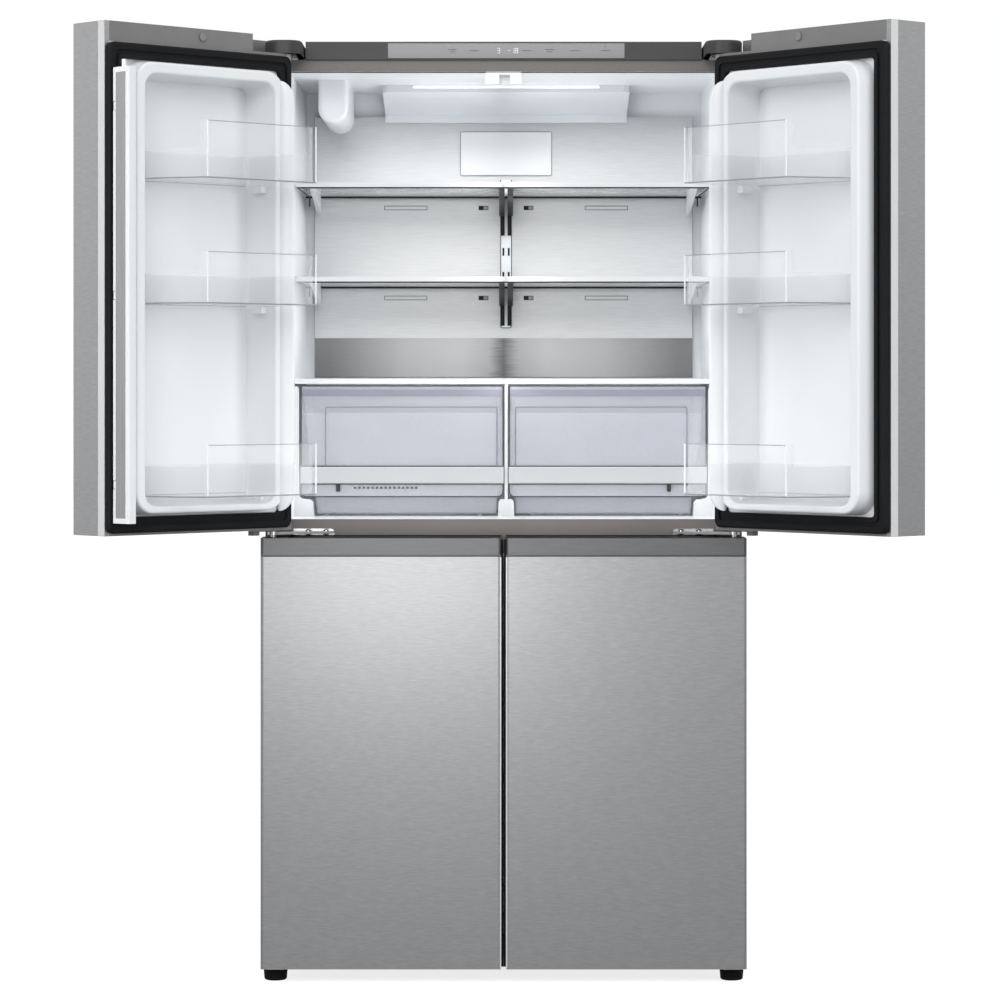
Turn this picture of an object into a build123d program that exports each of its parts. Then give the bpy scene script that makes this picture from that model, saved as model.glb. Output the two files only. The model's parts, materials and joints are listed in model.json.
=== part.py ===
"""French door refrigerator with two fridge doors over two freezer doors.

Millimetres, +Z up, the front faces -Y.  The origin lies on the floor, on the
cabinet's centre plane, at the middle of the depth with the upper doors open.
"""
import math
import os

from build123d import *

# Cabinet
CABINET_WIDTH = 908.0
CABINET_DEPTH = 630.0
CABINET_FRONT_Y = -105.0
CABINET_BOTTOM_Z = 32.0
CABINET_TOP_Z = 1740.0
SPLIT_Z = 840.5
CABINET_CORNER_R = 3.0
SHEET_WALL = 1.0
LINER_WALL = 1.5
SEAT_GAP = 0.3
RUN_GAP = 1.0
REAR_PRESS_ROWS = 3
REAR_PRESS_MARGIN = 70.0
REAR_PRESS_DEPTH = 2.5
REAR_PRESS_R = 30.0
REAR_PRESS_ANGLE = 45.0

# Fridge compartment
FRIDGE_SIDE_WALL = 45.0
FRIDGE_SIDE_TAPER = 5.0
FRIDGE_REAR_WALL = 140.0
FRIDGE_FLOOR_HEIGHT = 24.5
FRIDGE_CEILING_WALL = 22.0

# Freezer compartment
FREEZER_SIDE_WALL = 48.0
FREEZER_REAR_WALL = 140.0
FREEZER_FLOOR_WALL = 43.0
FREEZER_CEILING_DEPTH = 40.5
FREEZER_STEP_WALL = 25.0
FREEZER_STEP_GAP = 28.0
FREEZER_STEP_HEIGHT = 50.0
FREEZER_PANEL_WALL = 3.0

# Doors, measured from the hinge axis: u runs to the free end, v runs inward
HINGE_SIDE_INSET = 19.0
HINGE_SETBACK = 51.4
DOOR_FRONT_V = -57.0
DOOR_BACK_V = 39.4
DOOR_OUTER_U = -21.0
DOOR_CENTRE_GAP = 8.6
DOOR_SPLIT_GAP = 15.0
DOOR_CORNER_R = 6.0
DOOR_HINGE_CHAMFER = 12.0
SKIN_LIP_WIDTH = 10.0
LEFT_DOOR_ANGLE = 135.8
RIGHT_DOOR_ANGLE = 131.9
UPPER_DOOR_TOP_HEIGHT = 36.0
UPPER_TOP_CAP_HEIGHT = 37.0
UPPER_BOTTOM_CAP_HEIGHT = 14.0
LOWER_DOOR_BOTTOM_DEPTH = 7.0
LOWER_GRIP_CAP_HEIGHT = 34.0
LOWER_BOTTOM_CAP_HEIGHT = 14.0
GRIP_DEPTH = 11.0
GRIP_WIDTH = 30.0
GRIP_START_U = 40.0
GRIP_END_MARGIN = 40.0
CAP_GROOVE_HEIGHT = 3.0
CAP_GROOVE_DEPTH = 4.0
CAP_PLUG_R = 8.5
CAP_PLUG_HEIGHT = 3.0
CAP_PLUG_DROP_Z = 15.0
STOP_END_U = 54.0
STOP_FRONT_V = -10.0
STOP_BACK_V = 4.0
STOP_BLOCK_LENGTH = 16.0
STOP_BLOCK_HEIGHT = 11.0

# Door gasket and moulded inner panel
GASKET_HEIGHT = 10.6
GASKET_WIDTH = 29.0
GASKET_BEVEL = 3.0
GASKET_BEVEL_ANGLE = 45.0
GASKET_GROOVE_MARGIN = 13.0
GASKET_GROOVE_WIDTH = 7.5
GASKET_GROOVE_DEPTH = 3.5
GASKET_CORNER_R = 14.5
GASKET_CORNER_SHARE = 0.25
GASKET_OUTER_U = -4.0
GASKET_FREE_MARGIN = 2.0
UPPER_GASKET_BOTTOM_MARGIN = 5.0
LOWER_GASKET_BOTTOM_MARGIN = 26.0
UPPER_GASKET_TOP_MARGIN = 38.0
LOWER_GASKET_TOP_MARGIN = 12.0
DIKE_HINGE_GAP = 17.0
DIKE_EDGE_GAP = 3.0
DIKE_CORNER_R = 42.0
DIKE_RIDGE_WIDTH = 24.0
DIKE_BOTTOM_WIDTH = 16.0
RECESS_CORNER_R = 26.0
DIKE_DRAFT_ANGLE = 4.0
DIKE_FILLET_R = 5.0
UPPER_DIKE_V = 85.0
LOWER_DIKE_V = 74.0
UPPER_RECESS_V = 5.0
LOWER_RECESS_V = 30.0

# Door bins, the upper two placed by shares of the door's height
BIN_BACK_V = 11.0
BIN_FRONT_V = 188.0
BIN_HINGE_U = 76.0
BIN_FRONT_HINGE_U = 58.0
BIN_FREE_MARGIN = 68.7
BIN_FRONT_FREE_MARGIN = 114.7
BIN_BEND_V = 82.0
BIN_WALL = 3.0
BIN_RIM_WIDTH = 2.0
BIN_RIM_HEIGHT = 7.0
BIN_CORNER_R = 12.0
BIN_SHARES = (0.6929, 0.4504)
BIN_LOWEST_HEIGHT = 70.0
BIN_HEIGHTS = (104.0, 94.0, 95.0)
BIN_SIDE_HEIGHT = 56.0
BIN_NAMES = ("upper", "middle", "lower")
LUG_HEIGHT = 12.0
LUG_DEPTH = 16.0
LUG_LENGTH = 26.0

# Folding mullion, folded against the left door at rest
MULLION_PIVOT_MARGIN = 12.7
MULLION_PIVOT_V = 58.5
MULLION_INNER_WIDTH = 12.0
MULLION_OUTER_WIDTH = 6.0
MULLION_HEEL_DEPTH = 5.0
MULLION_REACH_DEPTH = 41.5
MULLION_FLOOR_GAP = 7.0
MULLION_CEILING_GAP = 28.0
MULLION_CORNER_R = 3.0
MULLION_PIN_R = 3.0
MULLION_FACE_WALL = 1.2
MULLION_FACE_MARGIN = 9.0
MULLION_GUIDE_PIN_R = 4.0
MULLION_GUIDE_PIN_HEIGHT = 14.0
MULLION_ARM_HEIGHT = 14.0
MULLION_ARM_R = 6.0
MULLION_ARM_MARGIN = 69.0
GUIDE_WIDTH = 76.0
GUIDE_DEPTH = 36.0
GUIDE_SETBACK = 1.5
GUIDE_SLOT_DEPTH = 19.0
GUIDE_SLOT_LEFT_X = -8.0
GUIDE_SLOT_RIGHT_X = 12.0
GUIDE_ROOF_WALL = 6.0

# Hinges
HINGE_PIN_R = 5.0
HINGE_PLATE_WALL = 5.0
HINGE_PIN_LENGTH = 19.0
HINGE_EYE_R = 11.5
MID_HINGE_LENGTH = 113.0
MID_HINGE_FOOT_WIDTH = 78.0
MID_HINGE_FOOT_HEIGHT = 18.0
MID_HINGE_FOOT_R = 8.0
MID_HINGE_FOOT_WALL = 3.0
TOP_NOTCH_U = 84.0
TOP_NOTCH_V = -46.0
TOP_NOTCH_DEPTH = 32.0
TOP_HINGE_DEPTH = 95.0
TOP_HINGE_WIDTH = 44.0
BOTTOM_HINGE_WIDTH = 34.5
BOTTOM_HINGE_DEPTH = 46.0
HINGE_COVER_WIDTH = 70.0
HINGE_COVER_OFFSET_X = 20.0
HINGE_COVER_NOSE_LENGTH = 38.0
HINGE_COVER_DEPTH = 115.0
HINGE_COVER_WALL = 2.5
HINGE_COVER_NOSE_R = 28.0
HINGE_COVER_EDGE_R = 5.0
HINGE_COVER_DROP = 6.0

# Top cover and display
TOP_COVER_NOSE_DEPTH = 8.0
TOP_COVER_DEPTH = 130.0
TOP_COVER_HEIGHT = 34.0
TOP_COVER_SIDE_GAP = 3.0
DISPLAY_WIDTH = 450.0
DISPLAY_HEIGHT = 28.0
DISPLAY_WALL = 3.0

# Shelves, placed by shares of the height over the crisper cover
FITTINGS_X = 5.0
SHELF_SETBACK = 147.0
SHELF_SHARES = (0.6547, 0.3402)
SHELF_SIDE_GAP = 4.0
SHELF_CENTRE_GAP = 6.0
SHELF_GLASS_WALL = 4.0
SHELF_TRIM_HEIGHT = 9.5
SHELF_TRIM_DEPTH = 14.0
BRACKET_WALL = 6.0
BRACKET_FRONT_HEIGHT = 8.0
BRACKET_BACK_HEIGHT = 46.0
BRACKET_INSET = 10.0
CENTRE_BRACKET_WALL = 11.0
CENTRE_HOOK_WALL = 8.0
CENTRE_HOOK_DROP = 40.0
CENTRE_HOOK_DEPTH = 9.0

# Back of the fridge compartment
DUCT_SIDE_GAP = 18.5
DUCT_WALL = 15.0
DUCT_HEAD_GAP = 50.0
DUCT_FLOOR_GAP = 4.0
DUCT_STEP_HEIGHT = 80.0
DUCT_STEP_DEPTH = 11.0
DUCT_SLOT_DROP_Z = 33.0
DUCT_SLOT_X = 205.0
DUCT_SLOT_LENGTH = 88.0
DUCT_VENT_X = 46.0
DUCT_VENT_LENGTH = 20.0
DUCT_SLOT_HEIGHT = 9.0
DUCT_SLOT_DEPTH = 8.0
PLATE_WIDTH = 186.0
PLATE_WALL = 4.0
PLATE_TOP_MARGIN = 30.0
PLATE_BOTTOM_MARGIN = 9.0
RAIL_WIDTH = 22.0
RAIL_WALL = 5.0
RAIL_TOP_MARGIN = 24.0
RAIL_BOTTOM_MARGIN = 94.0
RAIL_SLOT_PITCH = 49.0
RAIL_SLOT_HEIGHT = 16.0
RAIL_SLOT_WIDTH = 4.0

# Ceiling pieces
LENS_WIDTH = 492.0
LENS_DEPTH = 185.0
LENS_FRONT_HEIGHT = 14.0
LENS_BACK_HEIGHT = 62.0
LENS_LIP_HEIGHT = 16.0
LENS_LIP_DEPTH = 12.0
FILTER_INSET = 75.0
FILTER_R = 29.0
FILTER_HEIGHT = 84.0
FILTER_SETBACK = 180.0
FILTER_NOSE_R = 9.5

# Crispers
CRISPER_DIVIDER_WIDTH = 6.0
CRISPER_SIDE_GAP = 2.0
CRISPER_WALL_GAP = 12.0
CRISPER_FLOOR_GAP = 5.0
CRISPER_HEIGHT = 250.0
CRISPER_BACK_GAP = 18.0
CRISPER_WALL = 3.0
CRISPER_RUNNER_WIDTH = 8.0
CRISPER_RUNNER_INSET = 46.0
CRISPER_RUNNER_SETBACK = 40.0
CRISPER_FOOT_TAPER = 14.0
CRISPER_FOOT_NARROWING = 18.0
CRISPER_FACE_HEIGHT = 37.0
CRISPER_FACE_CORNER_R = 12.0
CRISPER_HANDLE_FLOOR_GAP = 64.0
CRISPER_HANDLE_HEIGHT = 32.5
CRISPER_HANDLE_WALL = 8.0
CRISPER_HANDLE_EDGE_R = 2.5
CRISPER_COVER_GAP = 3.0
CRISPER_COVER_HEIGHT = 10.0
CRISPER_COVER_RIM_WIDTH = 22.0
SLIDER_WIDTH = 8.0
SLIDER_HEIGHT = 15.0
SLIDER_WALL = 4.0
SLIDER_INSET = 73.5
SLIDER_CORNER_R = 2.0

# Freezer fittings
POST_WIDTH = 60.0
POST_DEPTH = 42.0
DIVIDER_WALL = 20.0
DRAWER_FRONT_SETBACK = 52.0
DRAWER_BACK_GAP = 10.0
DRAWER_WALL = 3.0
DRAWER_CORNER_R = 12.0
DRAWER_SIDE_GAP = 4.0
DRAWER_ROWS = 3
DRAWER_HEAD_GAP = 35.0
DRAWER_TOP_GAP = 5.0
DRAWER_GRIP_DEPTH = 16.0
DRAWER_GRIP_HEIGHT = 22.0
DRAWER_GRIP_MARGIN = 102.0
LEDGE_DEPTH = 12.0
LEDGE_HEIGHT = 8.0
EVAPORATOR_SIDE_GAP = 126.0
EVAPORATOR_DEPTH = 62.0
EVAPORATOR_FLOOR_GAP = 40.0
EVAPORATOR_HEAD_GAP = 150.0
EVAPORATOR_FINS = 20
EVAPORATOR_FIN_WALL = 4.0

# Machine compartment and what the cabinet stands on
MACHINE_DEPTH = 205.0
MACHINE_HEIGHT = 270.0
MACHINE_SIDE_WALL = 26.0
MACHINE_COVER_WALL = 1.5
BASE_WALL = 3.0
COMPRESSOR_INSET = 178.0
COMPRESSOR_R = 72.0
COMPRESSOR_HEIGHT = 158.0
COMPRESSOR_DOME_R = 44.0
COMPRESSOR_FOOT_R = 7.0
COMPRESSOR_FOOT_HEIGHT = 14.0
CONDENSER_INSET = 218.0
CONDENSER_WIDTH = 240.0
CONDENSER_DEPTH = 140.0
CONDENSER_HEIGHT = 160.0
CONDENSER_FINS = 16
CONDENSER_FIN_WALL = 4.0
CONDENSER_TRAY_HEIGHT = 8.0
FAN_R = 66.0
FAN_HUB_R = 20.0
FAN_WIDTH = 24.0
FAN_BLADES = 5
FAN_BLADE_WALL = 2.5
FAN_BLADE_WIDTH = 28.8
FAN_BLADE_ANGLE = 35.0
FAN_SHAFT_R = 4.0
FAN_MOTOR_LENGTH = 44.0
FAN_GAP = 16.0
COVER_SLOT_ROWS = 7
COVER_SLOT_COLUMNS = 4
COVER_SLOT_GAP = 40.0
COVER_SLOT_HEIGHT = 7.0
COVER_SLOT_PITCH_Z = 24.0
SILL_HEIGHT = 20.0
FOOT_OFFSET_X = 5.0
FOOT_OFFSET_Y = 14.0
FOOT_R = 21.0
FOOT_TOP_R = 22.5
FOOT_BEVEL = 2.0
FOOT_PAD_HEIGHT = 17.0
FOOT_STEM_R = 6.0
ROLLER_SIDE_INSET = 54.0
ROLLER_R = 20.0
ROLLER_WIDTH = 20.0
ROLLER_AXLE_R = 4.0
ROLLER_INSET = 70.0
ROLLER_EAR_WALL = 4.0

# How much a 45 degree bevel shrinks as the two walls beside it move in
BEVEL_SHARE = 2 - math.sqrt(2)

# Places worked out from the sizes above: plan
HALF = CABINET_WIDTH / 2
FRONT = CABINET_FRONT_Y
BACK = FRONT + CABINET_DEPTH
FRAME_BACK = FRONT + SHEET_WALL
HINGE_X = HALF - HINGE_SIDE_INSET
HINGE_Y = FRONT - HINGE_SETBACK
FRIDGE_DEPTH = CABINET_DEPTH - FRIDGE_REAR_WALL
FRIDGE_BACK_Y = FRONT + FRIDGE_DEPTH
FREEZER_HALF = HALF - FREEZER_SIDE_WALL
FREEZER_BACK_Y = BACK - FREEZER_REAR_WALL
MACHINE_FRONT_Y = BACK - MACHINE_DEPTH
MACHINE_HALF = HALF - MACHINE_SIDE_WALL
FREEZER_LOW_BACK_Y = MACHINE_FRONT_Y - FREEZER_STEP_WALL
DUCT_HALF = HALF - FRIDGE_SIDE_WALL - FRIDGE_SIDE_TAPER - DUCT_SIDE_GAP
DUCT_FRONT_Y = FRIDGE_BACK_Y - DUCT_WALL
SHELF_FRONT_Y = FRONT + SHELF_SETBACK
CRISPER_BACK_Y = DUCT_FRONT_Y - CRISPER_BACK_GAP
DRAWER_FRONT_Y = FRONT + DRAWER_FRONT_SETBACK
DRAWER_BACK_Y = FREEZER_LOW_BACK_Y - DRAWER_BACK_GAP
FILTER_X = FRIDGE_SIDE_WALL + FILTER_INSET - HALF
COMPRESSOR_X = COMPRESSOR_INSET - MACHINE_HALF
CONDENSER_X = MACHINE_HALF - CONDENSER_INSET
FOOT_X = HINGE_X - FOOT_OFFSET_X
FOOT_Y = HINGE_Y - FOOT_OFFSET_Y
BOTTOM_HINGE_INNER_X = HINGE_X + HINGE_EYE_R - BOTTOM_HINGE_WIDTH
ROLLER_X = HALF - ROLLER_SIDE_INSET

# Doors
DOOR_FREE_U = HINGE_X - DOOR_CENTRE_GAP / 2
DOOR_MIDDLE_V = (DOOR_FRONT_V + DOOR_BACK_V) / 2
GASKET_FREE_U = DOOR_FREE_U - GASKET_FREE_MARGIN
GASKET_TOP_V = DOOR_BACK_V + GASKET_HEIGHT
BIN_FREE_U = DOOR_FREE_U - BIN_FREE_MARGIN
BIN_FRONT_FREE_U = DOOR_FREE_U - BIN_FRONT_FREE_MARGIN
MULLION_PIVOT_U = DOOR_FREE_U - MULLION_PIVOT_MARGIN

# Heights
UPPER_DOOR_BOTTOM_Z = SPLIT_Z + DOOR_SPLIT_GAP / 2
UPPER_DOOR_TOP_Z = CABINET_TOP_Z + UPPER_DOOR_TOP_HEIGHT
UPPER_DOOR_HEIGHT = UPPER_DOOR_TOP_Z - UPPER_DOOR_BOTTOM_Z
LOWER_DOOR_BOTTOM_Z = CABINET_BOTTOM_Z - LOWER_DOOR_BOTTOM_DEPTH
LOWER_DOOR_TOP_Z = SPLIT_Z - DOOR_SPLIT_GAP / 2
MID_HINGE_Z = SPLIT_Z - HINGE_PLATE_WALL / 2
HINGE_COVER_TOP_Z = UPPER_DOOR_TOP_Z - HINGE_COVER_DROP
FRIDGE_FLOOR_Z = SPLIT_Z + FRIDGE_FLOOR_HEIGHT
FRIDGE_CEILING_Z = CABINET_TOP_Z - FRIDGE_CEILING_WALL
FREEZER_FLOOR_Z = CABINET_BOTTOM_Z + FREEZER_FLOOR_WALL
FREEZER_CEILING_Z = SPLIT_Z - FREEZER_CEILING_DEPTH
MACHINE_TOP_Z = CABINET_BOTTOM_Z + MACHINE_HEIGHT
FREEZER_STEP_Z = MACHINE_TOP_Z + FREEZER_STEP_GAP
CRISPER_BOTTOM_Z = FRIDGE_FLOOR_Z + CRISPER_FLOOR_GAP
CRISPER_TOP_Z = CRISPER_BOTTOM_Z + CRISPER_HEIGHT
CRISPER_HANDLE_Z = FRIDGE_FLOOR_Z + CRISPER_HANDLE_FLOOR_GAP
CRISPER_FACE_Z = FRIDGE_FLOOR_Z + CRISPER_FACE_HEIGHT
CRISPER_COVER_Z = CRISPER_TOP_Z + CRISPER_COVER_GAP
CRISPER_COVER_TOP_Z = CRISPER_COVER_Z + CRISPER_COVER_HEIGHT
SHELF_SPACE = FRIDGE_CEILING_Z - CRISPER_COVER_TOP_Z
SHELF_TOPS_Z = [CRISPER_COVER_TOP_Z + share * SHELF_SPACE for share in SHELF_SHARES]
DUCT_TOP_Z = FRIDGE_CEILING_Z - DUCT_HEAD_GAP
DUCT_BOTTOM_Z = CRISPER_COVER_TOP_Z + DUCT_FLOOR_GAP
DUCT_STEP_Z = DUCT_BOTTOM_Z + DUCT_STEP_HEIGHT
RAIL_TOP_Z = max(SHELF_TOPS_Z) + RAIL_TOP_MARGIN
PLATE_BOTTOM_Z = RAIL_TOP_Z + PLATE_BOTTOM_MARGIN
PLATE_TOP_Z = DUCT_TOP_Z - PLATE_TOP_MARGIN
RAIL_BOTTOM_Z = min(SHELF_TOPS_Z) - RAIL_BOTTOM_MARGIN
MULLION_BOTTOM_Z = FRIDGE_FLOOR_Z + MULLION_FLOOR_GAP
MULLION_TOP_Z = FRIDGE_CEILING_Z - MULLION_CEILING_GAP
MULLION_ARMS_Z = (
    MULLION_BOTTOM_Z + MULLION_ARM_MARGIN,
    (MULLION_BOTTOM_Z + MULLION_TOP_Z) / 2,
    MULLION_TOP_Z - MULLION_ARM_MARGIN,
)
BIN_FLOORS_Z = [UPPER_DOOR_BOTTOM_Z + share * UPPER_DOOR_HEIGHT for share in BIN_SHARES]
BIN_FLOORS_Z.append(UPPER_DOOR_BOTTOM_Z + BIN_LOWEST_HEIGHT)
DRAWER_PITCH = (FREEZER_CEILING_Z - FREEZER_FLOOR_Z - DRAWER_TOP_GAP) / DRAWER_ROWS
DRAWER_HEIGHT = DRAWER_PITCH - DRAWER_HEAD_GAP
DRAWER_FLOORS_Z = [FREEZER_FLOOR_Z + SEAT_GAP + row * DRAWER_PITCH for row in range(DRAWER_ROWS)]
EVAPORATOR_BOTTOM_Z = FREEZER_STEP_Z + FREEZER_STEP_HEIGHT + EVAPORATOR_FLOOR_GAP
EVAPORATOR_TOP_Z = FREEZER_CEILING_Z - EVAPORATOR_HEAD_GAP

nodes = {}


def block(x0, x1, y0, y1, z0, z1):
    """A box between two corners."""
    return Pos((x0 + x1) / 2, (y0 + y1) / 2, (z0 + z1) / 2) * Box(x1 - x0, y1 - y0, z1 - z0)


def plan_prism(points, z0, z1, radius=0.0):
    """A plan outline raised from z0 to z1, its corners rounded."""
    face = make_face(Polyline(*points, close=True))
    if radius:
        face = fillet(face.vertices(), radius)
    return extrude(Pos(0, 0, z0) * face, z1 - z0, dir=(0, 0, 1))


def side_prism(points, x0, x1):
    """A (y, z) profile drawn along X."""
    face = Plane.YZ * make_face(Polyline(*points, close=True))
    return extrude(Pos(x0, 0, 0) * face, x1 - x0, dir=(1, 0, 0))


def post(x, y, z0, z1, radius):
    """An upright cylinder."""
    return Pos(x, y, (z0 + z1) / 2) * Cylinder(radius, z1 - z0)


def rod_x(x0, x1, y, z, radius):
    """A cylinder along X."""
    return Pos((x0 + x1) / 2, y, z) * Rot(0, 90, 0) * Cylinder(radius, x1 - x0)


def fuse(shapes):
    """Several shapes joined to one."""
    result = shapes[0]
    for shape in shapes[1:]:
        result = result + shape
    return result


def both_sides(shape):
    """The shape and its mirror image across the centre plane."""
    return [shape, mirror(shape, about=Plane.YZ)]


def fridge_half_width(y):
    """Half the inner width of the tapering fridge liner at a depth."""
    share = (y - FRONT) / FRIDGE_DEPTH
    return HALF - FRIDGE_SIDE_WALL - share * FRIDGE_SIDE_TAPER


def fridge_cavity(grow):
    """The inside of the fridge liner, grown on every face but the front."""
    back = FRIDGE_BACK_Y + grow
    wide = fridge_half_width(FRONT) + grow
    narrow = fridge_half_width(FRIDGE_BACK_Y) + grow
    outline = [(-wide, FRONT), (wide, FRONT), (narrow, back), (-narrow, back)]
    return plan_prism(outline, FRIDGE_FLOOR_Z - grow, FRIDGE_CEILING_Z + grow)


def freezer_cavity(grow):
    """The inside of the freezer liner, stepped over the machine compartment."""
    low_back = FREEZER_LOW_BACK_Y + grow
    back = FREEZER_BACK_Y + grow
    profile = [
        (FRONT, FREEZER_FLOOR_Z - grow),
        (low_back, FREEZER_FLOOR_Z - grow),
        (low_back, FREEZER_STEP_Z),
        (back, FREEZER_STEP_Z + FREEZER_STEP_HEIGHT),
        (back, FREEZER_CEILING_Z + grow),
        (FRONT, FREEZER_CEILING_Z + grow),
    ]
    half = FREEZER_HALF + grow
    return side_prism(profile, -half, half)


def machine_space():
    """The open compartment at the bottom of the back."""
    return block(-MACHINE_HALF, MACHINE_HALF, MACHINE_FRONT_Y, BACK, 0, MACHINE_TOP_Z)


def build_cabinet():
    """Steel case, foam, liners and the back."""
    outside = block(-HALF, HALF, FRONT, BACK, CABINET_BOTTOM_Z, CABINET_TOP_Z)
    outside = fillet(outside.edges().filter_by(Axis.Y), CABINET_CORNER_R)
    inside = block(
        -HALF + SHEET_WALL,
        HALF - SHEET_WALL,
        FRAME_BACK,
        BACK,
        CABINET_BOTTOM_Z + SHEET_WALL,
        CABINET_TOP_Z - SHEET_WALL,
    )
    inside = fillet(inside.edges().filter_by(Axis.Y), CABINET_CORNER_R - SHEET_WALL)
    machine = machine_space()
    sill_half = BOTTOM_HINGE_INNER_X - RUN_GAP
    sill = block(-sill_half, sill_half, FRONT, FRAME_BACK, CABINET_BOTTOM_Z - SILL_HEIGHT, FREEZER_FLOOR_Z)
    case = outside - inside + sill
    nodes["outer_cabinet"] = case - fridge_cavity(0) - freezer_cavity(0) - machine

    behind_frame = block(-HALF, HALF, FRAME_BACK, BACK, 0, CABINET_TOP_Z)
    fridge_tub = fridge_cavity(LINER_WALL) & behind_frame
    freezer_tub = freezer_cavity(LINER_WALL) & behind_frame
    fill = inside - block(-HALF, HALF, BACK - SHEET_WALL, BACK, 0, CABINET_TOP_Z)
    nodes["insulation"] = fill - fridge_tub - freezer_tub - machine

    fridge_liner = fridge_tub - fridge_cavity(0)
    runner_front = SHELF_FRONT_Y + CRISPER_RUNNER_SETBACK
    runner_top = CRISPER_BOTTOM_Z - SEAT_GAP
    half = CRISPER_RUNNER_WIDTH / 2
    for x in crisper_runner_places():
        fridge_liner += block(x - half, x + half, runner_front, CRISPER_BACK_Y, FRIDGE_FLOOR_Z, runner_top)
    nodes["fridge_liner"] = fridge_liner

    freezer_liner = freezer_tub - freezer_cavity(0)
    for ledge in both_sides(drawer_ledges(FREEZER_HALF - LEDGE_DEPTH, FREEZER_HALF)):
        freezer_liner += ledge
    nodes["freezer_liner"] = freezer_liner

    sheet = inside & block(-HALF, HALF, BACK - SHEET_WALL, BACK, MACHINE_TOP_Z, CABINET_TOP_Z)
    nodes["rear_panel"] = sheet + rear_presses()


def rear_presses():
    """The shallow raised fields pressed into the rear sheet."""
    pitch = (CABINET_TOP_Z - MACHINE_TOP_Z - REAR_PRESS_MARGIN) / REAR_PRESS_ROWS
    width = CABINET_WIDTH - 2 * REAR_PRESS_MARGIN
    field = RectangleRounded(width, pitch - REAR_PRESS_MARGIN, REAR_PRESS_R)
    presses = []
    for row in range(REAR_PRESS_ROWS):
        z = MACHINE_TOP_Z + REAR_PRESS_MARGIN / 2 + (row + 0.5) * pitch
        plane = Plane(origin=(0, BACK, z), x_dir=(-1, 0, 0), z_dir=(0, 1, 0))
        presses.append(extrude(plane * field, REAR_PRESS_DEPTH, taper=REAR_PRESS_ANGLE))
    return presses


def drawer_ledges(x0, x1):
    """The ledges that carry the upper two drawers on one side."""
    ledges = []
    for floor in DRAWER_FLOORS_Z[1:]:
        top = floor - SEAT_GAP
        ledges.append(block(x0, x1, DRAWER_FRONT_Y, DRAWER_BACK_Y, top - LEDGE_HEIGHT, top))
    return fuse(ledges)


def crisper_runner_places():
    """Where the ribs under the two crispers stand."""
    gap = CRISPER_DIVIDER_WIDTH / 2 + CRISPER_SIDE_GAP + CRISPER_RUNNER_INSET
    outer = crisper_outer_x(CRISPER_BACK_Y) - CRISPER_RUNNER_INSET
    return (-outer, FITTINGS_X - gap, FITTINGS_X + gap, outer)


def crisper_outer_x(y):
    """Outer side of a crisper at a depth, along the liner's wall."""
    return fridge_half_width(y) - CRISPER_WALL_GAP


def build_fridge_back():
    """Air duct panel, its plate and the ladder rail."""
    profile = [
        (DUCT_FRONT_Y, DUCT_TOP_Z),
        (DUCT_FRONT_Y, DUCT_STEP_Z),
        (DUCT_FRONT_Y + DUCT_STEP_DEPTH, DUCT_BOTTOM_Z),
        (FRIDGE_BACK_Y, DUCT_BOTTOM_Z),
        (FRIDGE_BACK_Y, DUCT_TOP_Z),
    ]
    panel = side_prism(profile, -DUCT_HALF, DUCT_HALF)
    cut_back = DUCT_FRONT_Y + DUCT_SLOT_DEPTH
    for shelf_top in SHELF_TOPS_Z:
        z = shelf_top - DUCT_SLOT_DROP_Z
        for x, length in (
            (-DUCT_SLOT_X, DUCT_SLOT_LENGTH),
            (-DUCT_VENT_X, DUCT_VENT_LENGTH),
            (DUCT_VENT_X, DUCT_VENT_LENGTH),
            (DUCT_SLOT_X, DUCT_SLOT_LENGTH),
        ):
            centre = FITTINGS_X + x
            panel -= block(
                centre - length / 2,
                centre + length / 2,
                DUCT_FRONT_Y,
                cut_back,
                z - DUCT_SLOT_HEIGHT / 2,
                z + DUCT_SLOT_HEIGHT / 2,
            )
    nodes["air_duct_panel"] = panel

    plate_face = Plane.XZ * RectangleRounded(PLATE_WIDTH, PLATE_TOP_Z - PLATE_BOTTOM_Z, PLATE_WALL)
    plate_place = Pos(FITTINGS_X, DUCT_FRONT_Y - PLATE_WALL, (PLATE_BOTTOM_Z + PLATE_TOP_Z) / 2)
    nodes["vent_plate"] = extrude(plate_place * plate_face, PLATE_WALL, dir=(0, 1, 0))

    rail_front = DUCT_FRONT_Y - RAIL_WALL
    rail = block(
        FITTINGS_X - RAIL_WIDTH / 2,
        FITTINGS_X + RAIL_WIDTH / 2,
        rail_front,
        DUCT_FRONT_Y,
        RAIL_BOTTOM_Z,
        RAIL_TOP_Z,
    )
    rail = fillet(rail.edges().filter_by(Axis.Y), RAIL_WALL)
    count = int((RAIL_TOP_Z - RAIL_BOTTOM_Z) / RAIL_SLOT_PITCH) - 1
    for index in range(count):
        z = RAIL_BOTTOM_Z + (index + 1) * RAIL_SLOT_PITCH
        for side in (-1, 1):
            x = FITTINGS_X + side * RAIL_WIDTH / 4
            rail -= block(
                x - RAIL_SLOT_WIDTH / 2,
                x + RAIL_SLOT_WIDTH / 2,
                rail_front,
                DUCT_FRONT_Y,
                z,
                z + RAIL_SLOT_HEIGHT,
            )
    nodes["shelf_rail"] = rail


def half_shelf_outline(side, y0, y1, centre_gap):
    """Plan of one half-width shelf, its outer edge along the liner's wall."""
    inner = FITTINGS_X + side * centre_gap / 2
    return [
        (inner, y0),
        (side * (fridge_half_width(y0) - SHELF_SIDE_GAP), y0),
        (side * (fridge_half_width(y1) - SHELF_SIDE_GAP), y1),
        (inner, y1),
    ]


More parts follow.
